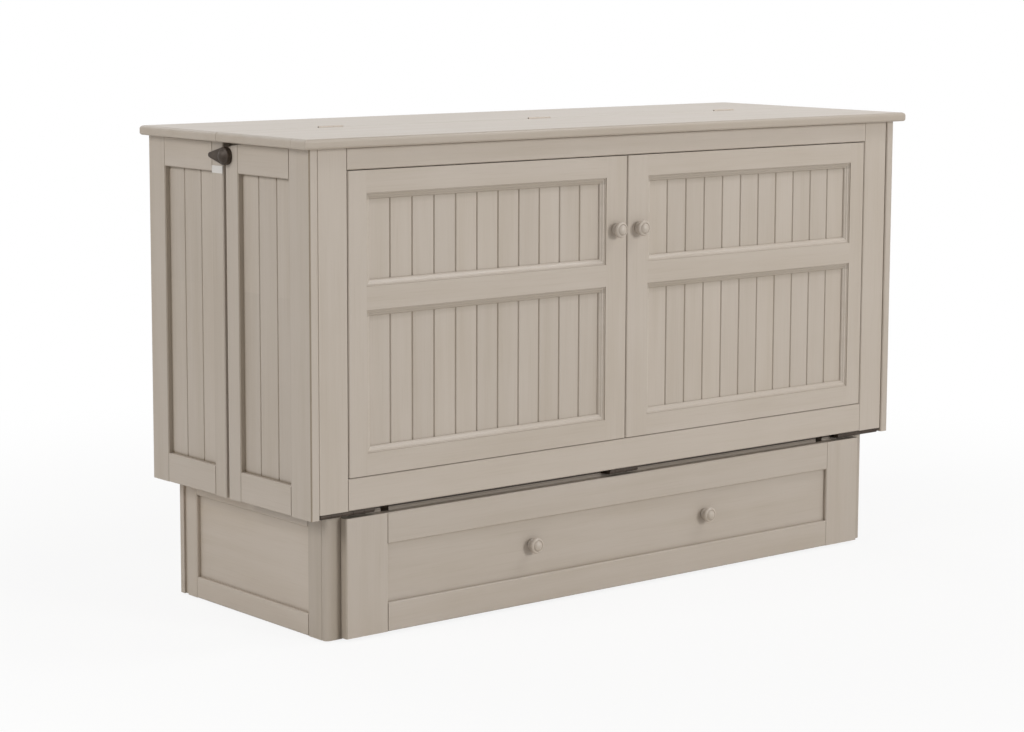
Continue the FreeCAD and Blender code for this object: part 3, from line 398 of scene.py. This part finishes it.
def moulded(name, rgb, roughness):
    """Moulded nylon or plain card, with a faint mottle."""
    material, tree, shader, place = opened(name)
    mottle = add(tree, "ShaderNodeTexNoise", {"Vector": place, "Scale": 420.0, "Detail": 2.0})
    tint = mottled(tree, solid(rgb), mottle.outputs["Fac"], darkest=0.94, lightest=1.03)
    surfaced(tree, shader, tint, roughness, mottle.outputs["Fac"], strength=0.1,
             depth=0.0002)
    return material


def knitted(name, rgb, stitch):
    """Knitted polyester: rows of small V stitches, matt with a soft sheen.

    The real stitch of about 1 mm is drawn at the size given, coarse enough to show.
    """
    material, tree, shader, place = opened(name)
    pitch = math.tau / stitch
    split = add(tree, "ShaderNodeSeparateXYZ", {"Vector": place})
    depth = add(tree, "ShaderNodeMath", {0: split.outputs["Z"], 1: split.outputs["Y"]},
                operation="ADD")
    column = add(tree, "ShaderNodeMath", {0: split.outputs["X"], 1: pitch}, operation="MULTIPLY")
    column = add(tree, "ShaderNodeMath", {0: column.outputs[0]}, operation="SINE")
    lean = add(tree, "ShaderNodeMath", {0: column.outputs[0], 1: STITCH_LEAN},
               operation="MULTIPLY")
    row = add(tree, "ShaderNodeMath", {0: depth.outputs[0], 1: pitch}, operation="MULTIPLY")
    row = add(tree, "ShaderNodeMath", {0: row.outputs[0], 1: lean.outputs[0]}, operation="ADD")
    row = add(tree, "ShaderNodeMath", {0: row.outputs[0]}, operation="SINE")
    stitches = add(tree, "ShaderNodeMath", {0: row.outputs[0], 1: column.outputs[0]},
                   operation="ADD")
    fuzz = add(tree, "ShaderNodeTexNoise", {"Vector": place, "Scale": 260.0, "Detail": 4.0})
    height = add(tree, "ShaderNodeMath", {0: fuzz.outputs["Fac"], 1: stitches.outputs[0]},
                 operation="ADD")
    tint = mottled(tree, solid(rgb), stitches.outputs[0], darkest=0.93, lightest=1.02,
                   low=-2.0, high=2.0)
    shader.inputs["Sheen Weight"].default_value = 0.25
    shader.inputs["Sheen Roughness"].default_value = 0.5
    surfaced(tree, shader, tint, 0.92, height.outputs[0], strength=0.35, depth=0.0006)
    return material


def finish_nodes(material, *names):
    """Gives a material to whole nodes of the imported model."""
    for name in names:
        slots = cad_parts[name].data.materials
        slots.clear()
        slots.append(material)


def lacquered(nodes, name, paint, grain, **look):
    """Gives nodes a glazed paint of their own; look is what glazed_paint takes by name."""
    finish_nodes(glazed_paint("glazed_lacquer_" + name, paint, grain, **look), *nodes)


# ------------------------------------------------------------------ making pieces
def shown(name, data):
    """A new object in the scene for a mesh, a curve, a lamp or a camera."""
    thing = bpy.data.objects.new(name, data)
    bpy.context.scene.collection.objects.link(thing)
    return thing


def final_mesh(thing):
    """The mesh that a curve, or a mesh with its modifiers, comes to."""
    view = bpy.context.evaluated_depsgraph_get()
    return bpy.data.meshes.new_from_object(thing.evaluated_get(view), depsgraph=view)


def piece_from(mesh_builder, name, material, body):
    """Turns a finished bmesh into a piece that rides on a body."""
    mesh = bpy.data.meshes.new(name)
    mesh_builder.to_mesh(mesh)
    mesh_builder.free()
    piece = shown(name, mesh)
    mesh.materials.append(material)
    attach(piece, body)
    return piece


def smooth(piece, angle=35.0):
    """Smooth shading, with hard edges kept where faces meet at more than the angle."""
    piece.data.shade_smooth()
    piece.data.set_sharp_from_angle(angle=math.radians(angle))


# A knob's outline from its seat to its crown: radius and distance from the seat, in mm
KNOB_PROFILE = [(0.0, 0.0), (11.5, 0.0), (11.9, 0.7), (11.5, 1.9), (9.7, 3.1), (8.6, 4.6),
                (8.0, 6.4), (8.1, 8.2), (8.9, 10.2), (10.6, 11.7), (13.0, 12.7), (15.3, 13.6),
                (16.6, 14.8), (17.0, 16.4), (16.7, 18.1), (15.7, 19.7), (14.2, 21.0),
                (12.9, 21.6), (12.1, 21.5), (11.6, 20.9), (11.2, 20.5), (10.7, 20.9),
                (10.0, 22.2), (8.4, 23.9), (5.9, 25.2), (3.0, 25.9), (0.0, 26.0)]


def spin_knob(builder, x, z, seat, radius):
    """Spins the knob's profile about its axis, which points forward from the seat."""
    share = radius / (max(r for r, _ in KNOB_PROFILE) * MM)
    points = [Vector((x + r * share * MM, seat - out * MM, z)) for r, out in KNOB_PROFILE]
    verts = [builder.verts.new(p) for p in points]
    edges = [builder.edges.new(ends) for ends in zip(verts, verts[1:])]
    bmesh.ops.spin(builder, geom=verts + edges, cent=(x, seat, z), axis=(0, 1, 0),
                   angle=math.tau, steps=56, use_merge=True, use_duplicate=False)


def turned_knobs(name, node, body, material, radius):
    """A pair of knobs turned from the profile, seated where the model's knobs are."""
    low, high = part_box(node)
    builder = bmesh.new()
    centre_x = high.x - radius
    for x in (-centre_x, centre_x):
        spin_knob(builder, x, (low.z + high.z) / 2, high.y, radius)
    bmesh.ops.remove_doubles(builder, verts=builder.verts, dist=1e-5)
    bmesh.ops.recalc_face_normals(builder, faces=builder.faces)
    piece = piece_from(builder, name, material, body)
    smooth(piece, angle=50.0)
    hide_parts(node)


LEVER_TIP = 5.5 * MM     # radius of the arm's end
LEVER_THICK = 8.0 * MM
HUB_STEPS, TIP_STEPS = 28, 12
# The hub's low dome: radius and height above the lever's back, in mm
HUB_DOME = [(0.0, 15.0), (4.0, 14.8), (7.4, 14.0), (9.8, 12.8), (11.8, 11.2), (13.6, 9.6),
            (15.2, 8.3), (16.2, 7.6), (16.4, 6.0)]


def latch_lever(side, settings, material):
    """A cast latch lever: a round hub with a low dome, running out into a tapered arm."""
    name = "latch_lever_" + side
    low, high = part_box(name)
    back = low.x if side == "right" else -high.x
    hub_radius = (high.z - low.z) / 2
    hub_y, hub_z = low.y + hub_radius, (low.z + high.z) / 2
    reach = high.y - hub_y - LEVER_TIP
    lean = math.acos((hub_radius - LEVER_TIP) / reach)
    outline = []
    for step in range(HUB_STEPS + 1):
        turn = lean + (math.tau - 2 * lean) * step / HUB_STEPS
        outline.append((hub_radius * math.cos(turn), hub_radius * math.sin(turn)))
    for step in range(TIP_STEPS + 1):
        turn = -lean + 2 * lean * step / TIP_STEPS
        outline.append((reach + LEVER_TIP * math.cos(turn), LEVER_TIP * math.sin(turn)))
    builder = bmesh.new()
    verts = [builder.verts.new((back, hub_y + y, hub_z + z)) for y, z in outline]
    face = builder.faces.new(verts)
    grown = bmesh.ops.extrude_face_region(builder, geom=[face])
    top = [v for v in grown["geom"] if isinstance(v, bmesh.types.BMVert)]
    bmesh.ops.translate(builder, verts=top, vec=(LEVER_THICK, 0, 0))
    cap = next(f for f in builder.faces if all(v in top for v in f.verts))
    bmesh.ops.bevel(builder, geom=list(cap.edges), offset=settings.lever_round, segments=4,
                    profile=0.5, affect="EDGES", material=-1)
    points = [builder.verts.new((back + out * MM, hub_y + r * MM, hub_z))
              for r, out in HUB_DOME]
    lines = [builder.edges.new(ends) for ends in zip(points, points[1:])]
    bmesh.ops.spin(builder, geom=points + lines, cent=(back, hub_y, hub_z), axis=(1, 0, 0),
                   angle=math.tau, steps=40, use_merge=True, use_duplicate=False)
    bmesh.ops.remove_doubles(builder, verts=builder.verts, dist=1e-6)
    if side == "left":
        bmesh.ops.scale(builder, verts=builder.verts, vec=(-1, 1, 1))
    bmesh.ops.recalc_face_normals(builder, faces=builder.faces)
    piece = piece_from(builder, "cast_" + name, material, "latch_" + side)
    smooth(piece)
    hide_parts(name)


# ------------------------------------------------------------------ mattress
# Sizes of one third, in metres
PAD_GAP = (0.006, 0.006, 0.004)  # what it is drawn in from its block before it is filled
PAD_CORNER = 0.045       # rounding of its four corners
PAD_RIM = 0.012          # rounding of its edges
PAD_VOXEL = 0.0125
PAD_PRESSURE = 4.0
PAD_FRAMES = 12          # frames that the cloth runs
PLAIN_RIM = 0.02         # rim of each face that has no quilting
QUILT_FADE = 0.05        # width over which the quilting then comes to its whole depth
SEAM = 0.009             # half the width of a quilting seam
TUFT = 0.45              # how far a tuft rises, as a share of a seam's depth
FACING = 0.72            # a face turned to the front or rear by more than this has the cover
WELT = 2.6 * MM          # radius of a welt
WELT_INSET = 0.013       # from the block's front or rear face to the welt's middle
WELT_STEP = 0.05         # distance between a welt's points on its straight runs
WELT_CAST = 0.02         # its points are looked for from this far outside
WELT_SUNK = 0.35         # share of its radius that it is sunk into the pad
CORNER_STEPS = 8         # parts of a welt's quarter turn


def mattress_shell(low, high):
    """One third before it is filled: a block with rounded corners and edges."""
    builder = bmesh.new()
    bmesh.ops.create_cube(builder, size=1.0)
    size, centre = high - low, (high + low) / 2
    bmesh.ops.scale(builder, verts=builder.verts, vec=size)
    bmesh.ops.translate(builder, verts=builder.verts, vec=centre)
    upright = [e for e in builder.edges if abs(e.verts[0].co.y - e.verts[1].co.y) > size.y / 2]
    bmesh.ops.bevel(builder, geom=upright, offset=PAD_CORNER, segments=6, profile=0.5,
                    affect="EDGES", material=-1)
    rims = [e for e in builder.edges if abs(e.verts[0].co.y - e.verts[1].co.y) < 1e-6]
    bmesh.ops.bevel(builder, geom=rims, offset=PAD_RIM, segments=3, profile=0.5,
                    affect="EDGES", material=-1)
    return builder


def filled(shell, swell):
    """Blows the shell up with cloth pressure, and caps how far any point of it may move."""
    bpy.context.view_layer.objects.active = shell
    remesh = shell.modifiers.new("remesh", "REMESH")
    remesh.mode = "VOXEL"
    remesh.voxel_size = PAD_VOXEL
    bake_modifiers(shell)
    start = [v.co.copy() for v in shell.data.vertices]
    cloth = shell.modifiers.new("cloth", "CLOTH")
    cloth.settings.use_pressure = True
    cloth.settings.uniform_pressure_force = PAD_PRESSURE
    cloth.settings.quality = 4
    cloth.settings.effector_weights.gravity = 0.0
    for number in range(1, PAD_FRAMES + 1):
        bpy.context.scene.frame_set(number)
    bake_modifiers(shell)
    for vertex, before in zip(shell.data.vertices, start):
        move = vertex.co - before
        if move.length > swell:
            vertex.co = before + move * (swell / move.length)
    bpy.context.scene.frame_set(1)


def bake_modifiers(piece):
    """Applies the piece's modifiers, so that none is left on it."""
    mesh = final_mesh(piece)
    piece.modifiers.clear()
    old = piece.data
    piece.data = mesh
    bpy.data.meshes.remove(old)


def quilted(piece, low, high, settings):
    """Presses the sewn quilting into both faces, and keeps the third inside its block."""
    builder = bmesh.new()
    builder.from_mesh(piece.data)
    builder.normal_update()
    middle = (low + high) / 2
    half = (high - low) / 2
    pitch = settings.quilt
    moves = {}
    for vertex in builder.verts:
        facing = abs(vertex.normal.y)
        away = vertex.co - middle
        edge = min(half.x - abs(away.x), half.z - abs(away.z))
        fade = max(0.0, min(1.0, (edge - PLAIN_RIM) / QUILT_FADE)) * facing
        first = (away.x + away.z) / pitch
        second = (away.x - away.z) / pitch
        seam = max(math.exp(-((row - round(row)) * pitch / SEAM) ** 2)
                   for row in (first, second))
        tuft = abs(math.sin(math.pi * first)) * abs(math.sin(math.pi * second))
        moves[vertex] = fade * settings.quilt_depth * (TUFT * tuft - seam)
    for vertex, move in moves.items():
        vertex.co += vertex.normal * move
        for axis in range(3):
            vertex.co[axis] = min(max(vertex.co[axis], low[axis]), high[axis])
    builder.to_mesh(piece.data)
    builder.free()


def welt_path(shell, low, high, y):
    """Points round one face, each laid on the filled pad's own surface and sunk in a little."""
    mesh = shell.data
    pad = BVHTree.FromPolygons([v.co for v in mesh.vertices],
                               [p.vertices for p in mesh.polygons])
    left, right = low.x + PAD_CORNER, high.x - PAD_CORNER
    foot, head = low.z + PAD_CORNER, high.z - PAD_CORNER
    places = []
    for x, z, start in ((right, head, 0), (left, head, 90), (left, foot, 180),
                        (right, foot, 270)):
        for step in range(CORNER_STEPS + 1):
            turn = math.radians(start + step * 90 / CORNER_STEPS)
            out = Vector((math.cos(turn), 0.0, math.sin(turn)))
            places.append((Vector((x, y, z)) + out * PAD_CORNER, out))
    points = []
    for (here, out), (there, _) in zip(places, places[1:] + places[:1]):
        count = max(1, round((there - here).length / WELT_STEP))
        for step in range(count):
            start = here.lerp(there, step / count) + out * WELT_CAST
            hit = pad.ray_cast(start, -out)[0]
            if hit is None:
                continue
            point = hit - out * (WELT * WELT_SUNK)
            for axis in (0, 2):
                point[axis] = min(max(point[axis], low[axis] + WELT), high[axis] - WELT)
            points.append(tuple(point))
    return points


def welt_line(points):
    """A taped welt: a closed cord along its points."""
    curve = bpy.data.curves.new("welt", "CURVE")
    curve.dimensions = "3D"
    curve.bevel_depth = WELT
    curve.bevel_resolution = 3
    spline = curve.splines.new("POLY")
    spline.points.add(len(points) - 1)
    for point, place in zip(spline.points, points):
        point.co = (*place, 1.0)
    spline.use_cyclic_u = True
    return curve


def mattress_third(node, settings, cover, border, welt):
    """One padded third with its quilted faces, woven border and two taped welts."""
    low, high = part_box(node)
    gap = Vector(PAD_GAP)
    shell = mattress_shell(low + gap, high - gap)
    piece = piece_from(shell, "padded_" + node, cover, "cabinet")
    filled(piece, settings.swell)
    finer = piece.modifiers.new("finer", "SUBSURF")
    finer.levels = finer.render_levels = 1
    bake_modifiers(piece)
    quilted(piece, low, high, settings)
    piece.data.materials.clear()
    for material in (cover, border):
        piece.data.materials.append(material)
    for polygon in piece.data.polygons:
        polygon.material_index = 0 if abs(polygon.normal.y) > FACING else 1
    piece.data.shade_smooth()
    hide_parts(node)
    for end, y in (("front", low.y + WELT_INSET), ("rear", high.y - WELT_INSET)):
        name = "_".join(("welt", node, end))
        cord = shown(name, welt_line(welt_path(piece, low, high, y)))
        mesh = final_mesh(cord)
        bpy.data.objects.remove(cord)
        line = shown(name, mesh)
        mesh.materials.clear()
        mesh.materials.append(welt)
        mesh.shade_smooth()
        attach(line, "cabinet")


# ------------------------------------------------------------------ operators
class CABINETBED_OT_paintwork(Operator):
    """Glazed paint on the frames, doors, planks, top and base"""
    bl_idname = "cabinetbed.paintwork"
    bl_label = "Paintwork"

    def execute(self, context):
        paint = context.scene.cabinetbed_paint
        lacquered(("front_frame_stiles", "door_stiles", "cabinet_back"), "upright", paint, "z",
                  kept=0.45)
        lacquered(("front_frame_rails", "door_rails", "base_back_board"), "across", paint, "x",
                  kept=0.45)
        lacquered(("rear_side_rails", "front_side_rails", "lid_battens"), "deep", paint, "y")
        self.top(paint)
        self.sections(paint)
        self.panels(paint)
        self.base(paint)
        return {"FINISHED"}

    def top(self, paint):
        """Waxed top, with glaze only on its rounded edges, and the flap hinges in its seam."""
        side, front = cad_box[1].x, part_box("lid_front_edging")[0].y
        marks = [Mark({"X": side}, full=0.005, reach=0.007, share=0.22),
                 Mark({"Y": front}, full=0.004, reach=0.006, share=0.3)]
        top = glazed_paint("waxed_lacquer_top", paint, "x", kept=0.0, polish=paint.sheen,
                           marks=marks, tone=1.08)
        flaps = glazed_paint("waxed_lacquer_flap_hinges", paint, "x", kept=0.0,
                             polish=paint.sheen, tone=1.22)
        finish_nodes(top, "rear_top", "lid_board", "lid_front_edging")
        finish_nodes(flaps, "lid_hinge_rear_leaves", "lid_hinge_lid_leaves")

    def sections(self, paint):
        """Side stiles: glaze left on the walls of the recesses and along the front corner."""
        reach = paint.edge_reach
        for part in ("front", "rear"):
            panel_low, panel_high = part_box(part + "_side_beadboards")
            low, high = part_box(part + "_side_stiles")
            marks = [Mark({"Y": wall}, full=reach * WHOLE, reach=reach, share=0.36)
                     for wall in (panel_low.y, panel_high.y)]
            if part == "front":
                marks.append(Mark({"X": high.x, "Y": low.y}, full=reach * 0.6,
                                  reach=reach * 1.1, share=0.7))
            lacquered([part + "_side_stiles"], part + "_side_stiles", paint, "z", kept=0.6,
                      tone=0.98, marks=marks)

    def panels(self, paint):
        """Planked panels, every plank of its own shade, and the mouldings round the doors'."""
        heads = (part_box("door_mouldings")[1].z, BAY_HEAD)
        shade = [Mark({"Z": z - 0.013}, full=0.0, reach=0.013, share=0.22) for z in heads]
        lacquered(["door_beadboards"], "door_planks", paint, "z", kept=0.9, marks=shade,
                  planks=("X", paint.plank, DOOR_GROOVE, "ABSOLUTE"))
        for part, groove in (("front", FRONT_GROOVE), ("rear", REAR_GROOVE)):
            lacquered([part + "_side_beadboards"], part + "_side_planks", paint, "z", kept=2.4,
                      planks=("Y", paint.side_plank, groove, "SUBTRACT"))
        edges = [Mark({"Z": z - 0.006}, full=0.007, reach=0.009, share=0.3) for z in heads]
        lacquered(["door_mouldings"], "mouldings", paint, "x", kept=0.6, polish=paint.sheen,
                  marks=edges)

    def base(self, paint):
        """Base: posts that darken towards the drawer, drawer ends, and the dark hinge rail."""
        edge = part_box("drawer_front_stiles")[1].x
        rail_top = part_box("base_front_rail")[1].z
        reach = paint.edge_reach
        shade = Mark({"X": edge}, full=0.004, reach=0.044, share=0.38)
        joint = Mark({"X": edge}, full=reach * WHOLE, reach=reach, share=0.25)
        strip = Mark({"Z": rail_top}, full=0.0088, reach=0.0098, share=1.0)
        lacquered(["base_front_posts"], "posts", paint, "z", tone=0.95, kept=0.4,
                  marks=[shade])
        lacquered(["drawer_front_stiles"], "drawer_stiles", paint, "z", tone=0.94, kept=0.7,
                  marks=[joint])
        lacquered(["drawer_front_rails", "drawer_front_panel"], "drawer", paint, "x",
                  tone=0.94)
        lacquered(["base_front_rail"], "front_rail", paint, "x", tone=0.72, kept=0.0,
                  stain=paint.strip, marks=[strip])
        lacquered(["base_side_rails", "base_side_panels"], "base_side", paint, "y", tone=1.08)
        lacquered(["base_rear_stiles"], "base_rear", paint, "z", tone=1.06)


PLY_RING = 3.0           # peeled birch shows broader figure than a slat, by this much
PLY_SHEET = 2.0          # so wide that a sheet changes its shade at the middle line alone


class CABINETBED_OT_timber(Operator):
    """Planed slats and bearers, and birch plywood for the drawer and the floor"""
    bl_idname = "cabinetbed.timber"
    bl_label = "Timber"

    def execute(self, context):
        timber = context.scene.cabinetbed_timber
        pine = timber.pine, timber.pine_late, timber.ring
        birch = timber.ply, timber.ply_late, timber.ring * PLY_RING
        slats = planed_timber("planed_spruce_slats", *pine, grain="z", board=0.09)
        rails = planed_timber("planed_spruce_rails", *pine, grain="x", board=0.084)
        bearers = planed_timber("planed_spruce_bearers", *pine, grain="y", board=0.36)
        ply = planed_timber("birch_plywood", *birch, grain="x", board=PLY_SHEET)
        ply_deep = planed_timber("birch_plywood_sides", *birch, grain="y", board=PLY_SHEET)
        finish_nodes(slats, "middle_deck_slats", "foot_deck_slats", "foot_deck_side_rails",
                     "foot_deck_runner_strips", "front_corner_cleats")
        finish_nodes(rails, "middle_deck_ledgers", "foot_deck_cross_rails", "head_deck_slats")
        finish_nodes(bearers, "head_deck_bearers")
        finish_nodes(ply, "cabinet_floor", "drawer_box_ends", "drawer_floor")
        finish_nodes(ply_deep, "drawer_box_sides")
        return {"FINISHED"}


class CABINETBED_OT_hardware(Operator):
    """Bronze hinges and latches, zinc slides, coated legs, glides and the blank tag"""
    bl_idname = "cabinetbed.hardware"
    bl_label = "Hardware"

    def execute(self, context):
        hardware = context.scene.cabinetbed_hardware
        bronze = worn_metal("oil_rubbed_bronze", hardware.bronze, hardware.bronze_worn,
                            metallic=0.35, roughness=0.48, grit=0.0012)
        zinc = worn_metal("zinc_plated_steel", hardware.zinc, hardware.zinc_worn,
                          metallic=1.0, roughness=0.34, grit=0.0016, brushed="y")
        coat = worn_metal("powder_coated_steel", hardware.legs, hardware.legs_worn,
                          metallic=0.0, roughness=0.5, grit=0.0008)
        finish_nodes(bronze, "front_hinge_base_leaves", "front_hinge_front_leaves",
                     "hinge_pins", "latch_bases", "latch_keepers")
        finish_nodes(zinc, "drawer_runner_channels", "drawer_runner_slides",
                     "foot_leg_brackets")
        finish_nodes(coat, "foot_leg_left", "foot_leg_right")
        finish_nodes(moulded("moulded_nylon", hardware.nylon, roughness=0.45), "floor_glides")
        finish_nodes(moulded("plain_card", hardware.card, roughness=0.8), "blank_tag")
        for side in ("left", "right"):
            latch_lever(side, hardware, bronze)
        return {"FINISHED"}


class CABINETBED_OT_knobs(Operator):
    """Turned wooden knobs on the doors and the drawer"""
    bl_idname = "cabinetbed.knobs"
    bl_label = "Knobs"

    def execute(self, context):
        paint = context.scene.cabinetbed_paint
        radius = context.scene.cabinetbed_hardware.knob_radius
        turned = glazed_paint("glazed_lacquer_turned", paint, "x", polish=paint.sheen)
        turned_knobs("turned_door_knobs", "door_knobs", "front", turned, radius)
        turned_knobs("turned_drawer_knobs", "drawer_knobs", "drawer", turned, radius)
        return {"FINISHED"}


class CABINETBED_OT_mattress(Operator):
    """The mattress in three padded thirds, folded on the head deck"""
    bl_idname = "cabinetbed.mattress"
    bl_label = "Mattress"

    def execute(self, context):
        settings = context.scene.cabinetbed_mattress
        cover = knitted("knitted_mattress_cover", settings.cover, stitch=0.0042)
        border = knitted("woven_mattress_border", settings.border, stitch=0.0060)
        welt = knitted("taped_welt", settings.welt, stitch=0.0030)
        for node in ("mattress_head_third", "mattress_middle_third", "mattress_foot_third"):
            mattress_third(node, settings, cover, border, welt)
        return {"FINISHED"}


# Each lamp's name, the setting of its power, its width, its place and its target
LAMPS = (("key_lamp", "key", 4.0, (4.5, -13.0, 4.2), (0.0, -0.3, 0.5)),
         ("side_lamp", "side", 3.6, (-8.0, 0.5, 5.0), (-0.8, 0.0, 0.5)),
         ("top_lamp", "top", 1.3, (2.1, -1.6, 3.7), (0.0, -0.2, 0.7)),
         ("back_lamp", "back", 4.0, (0.5, 12.5, 4.2), (0.0, 0.3, 0.5)))
FLOOR_HALF = 220.0       # half of the floor's width, in metres
# The camera's place, and its turns, which are given here in degrees
EYE = (-3.6356, -4.313, 1.3099)
YAW, PITCH, ROLL = (math.radians(turn) for turn in (39.4402, 7.507, 0.1887))


class CABINETBED_OT_stage(Operator):
    """Pale floor, soft studio lamps and the camera"""
    bl_idname = "cabinetbed.stage"
    bl_label = "Stage"

    def execute(self, context):
        settings = context.scene.cabinetbed_stage
        make_floor(settings)
        make_world(settings)
        for name, power, width, place, target in LAMPS:
            make_lamp(name, getattr(settings, power), width, place, target)
        make_camera()
        return {"FINISHED"}


def make_floor(settings):
    """A very wide floor that reads as a pale studio sweep and keeps the object's shadow."""
    builder = bmesh.new()
    bmesh.ops.create_grid(builder, x_segments=1, y_segments=1, size=FLOOR_HALF)
    mesh = bpy.data.meshes.new("studio_floor")
    builder.to_mesh(mesh)
    builder.free()
    floor = shown("studio_floor", mesh)
    material, tree, shader, place = opened("matt_studio_floor")
    speckle = add(tree, "ShaderNodeTexNoise", {"Vector": place, "Scale": 3.0, "Detail": 2.0})
    tint = mottled(tree, solid(settings.floor), speckle.outputs["Fac"], darkest=0.995,
                   lightest=1.005)
    tree.links.new(tint, shader.inputs["Base Color"])
    shader.inputs["Roughness"].default_value = 0.9
    seen = add(tree, "ShaderNodeLightPath")
    glow = add(tree, "ShaderNodeEmission", {"Color": solid(settings.backdrop), "Strength": 1.0})
    away = add(tree, "ShaderNodeVectorMath", {0: place}, operation="LENGTH")
    fade = add(tree, "ShaderNodeMapRange", {"Value": away.outputs["Value"], "From Min": 0.9,
                                            "From Max": 2.6, "To Min": 0.86, "To Max": 1.0},
               interpolation_type="SMOOTHSTEP")
    share = add(tree, "ShaderNodeMath", {0: seen.outputs["Is Camera Ray"],
                                         1: fade.outputs["Result"]}, operation="MULTIPLY")
    blend = add(tree, "ShaderNodeMixShader", {"Fac": share.outputs[0], 1: shader.outputs["BSDF"],
                                              2: glow.outputs["Emission"]})
    output = next(n for n in tree.nodes if n.bl_idname == "ShaderNodeOutputMaterial")
    tree.links.new(blend.outputs["Shader"], output.inputs["Surface"])
    mesh.materials.append(material)


def make_world(settings):
    """Even room light; the camera and the glossy surfaces see the white backdrop."""
    world = bpy.data.worlds.new("studio_room")
    bpy.context.scene.world = world
    world.use_nodes = True
    tree = world.node_tree
    tree.nodes.clear()
    seen = add(tree, "ShaderNodeLightPath")
    either = add(tree, "ShaderNodeMath", {0: seen.outputs["Is Camera Ray"],
                                          1: seen.outputs["Is Glossy Ray"]}, operation="MAXIMUM")
    room = add(tree, "ShaderNodeBackground", {"Color": (1, 1, 1, 1), "Strength": settings.fill})
    white = add(tree, "ShaderNodeBackground", {"Color": solid(settings.backdrop),
                                               "Strength": 1.0})
    blend = add(tree, "ShaderNodeMixShader", {"Fac": either.outputs[0],
                                              1: room.outputs["Background"],
                                              2: white.outputs["Background"]})
    add(tree, "ShaderNodeOutputWorld", {"Surface": blend.outputs["Shader"]})


def make_lamp(name, power, width, place, target):
    """A square soft box that faces its target."""
    lamp = bpy.data.lights.new(name, "AREA")
    lamp.energy = power
    lamp.shape = "SQUARE"
    lamp.size = width
    box = shown(name, lamp)
    box.location = place
    towards = Vector(target) - Vector(place)
    box.rotation_euler = towards.to_track_quat("-Z", "Y").to_euler()


def make_camera():
    """The photograph's view: from the front left, a little above the top.

    The shift is small, so that the object stays in the frame when it is seen from elsewhere.
    """
    lens = bpy.data.cameras.new("studio_camera")
    lens.sensor_width = 36.0
    lens.lens = 90.5175
    lens.shift_y = -0.05
    lens.clip_end = 600.0
    camera = shown("studio_camera", lens)
    forward = Vector((math.sin(YAW) * math.cos(PITCH), math.cos(YAW) * math.cos(PITCH),
                      -math.sin(PITCH)))
    right = Vector((math.cos(YAW), -math.sin(YAW), 0.0))
    up = right.cross(forward)
    level = Matrix((right, up, -forward)).transposed()
    turned = level @ Matrix.Rotation(ROLL, 3, "Z")
    camera.matrix_world = Matrix.Translation(EYE) @ turned.to_4x4()
    bpy.context.scene.camera = camera


class CABINETBED_PT_panel(Panel):
    """Lists the steps that dress the cabinet bed"""
    bl_label = "Cabinet bed"
    bl_idname = "CABINETBED_PT_panel"
    bl_space_type = "VIEW_3D"
    bl_region_type = "UI"
    bl_category = "Cabinet bed"

    def draw(self, context):
        for kind in OPERATORS:
            self.layout.operator(kind.bl_idname)
        for name, kind in SETTINGS.items():
            group = getattr(context.scene, name)
            column = self.layout.column(heading=kind.__name__)
            for key in kind.__annotations__:
                column.prop(group, key)


OPERATORS = (CABINETBED_OT_stage, CABINETBED_OT_paintwork, CABINETBED_OT_timber,
             CABINETBED_OT_hardware, CABINETBED_OT_knobs, CABINETBED_OT_mattress)
SETTINGS = {"cabinetbed_paint": PaintSettings, "cabinetbed_timber": TimberSettings,
            "cabinetbed_hardware": HardwareSettings, "cabinetbed_mattress": MattressSettings,
            "cabinetbed_stage": StageSettings}


def register():
    for kind in (*SETTINGS.values(), *OPERATORS, CABINETBED_PT_panel):
        bpy.utils.register_class(kind)
    for name, kind in SETTINGS.items():
        setattr(bpy.types.Scene, name, PointerProperty(type=kind))


def unregister():
    for name in SETTINGS:
        delattr(bpy.types.Scene, name)
    for kind in reversed((*SETTINGS.values(), *OPERATORS, CABINETBED_PT_panel)):
        bpy.utils.unregister_class(kind)


def main():
    register()
    bpy.context.scene.view_settings.view_transform = "Standard"
    bpy.ops.cabinetbed.stage()
    bpy.ops.cabinetbed.paintwork()
    bpy.ops.cabinetbed.timber()
    bpy.ops.cabinetbed.hardware()
    bpy.ops.cabinetbed.knobs()
    bpy.ops.cabinetbed.mattress()


if __name__ == "__main__":
    main()
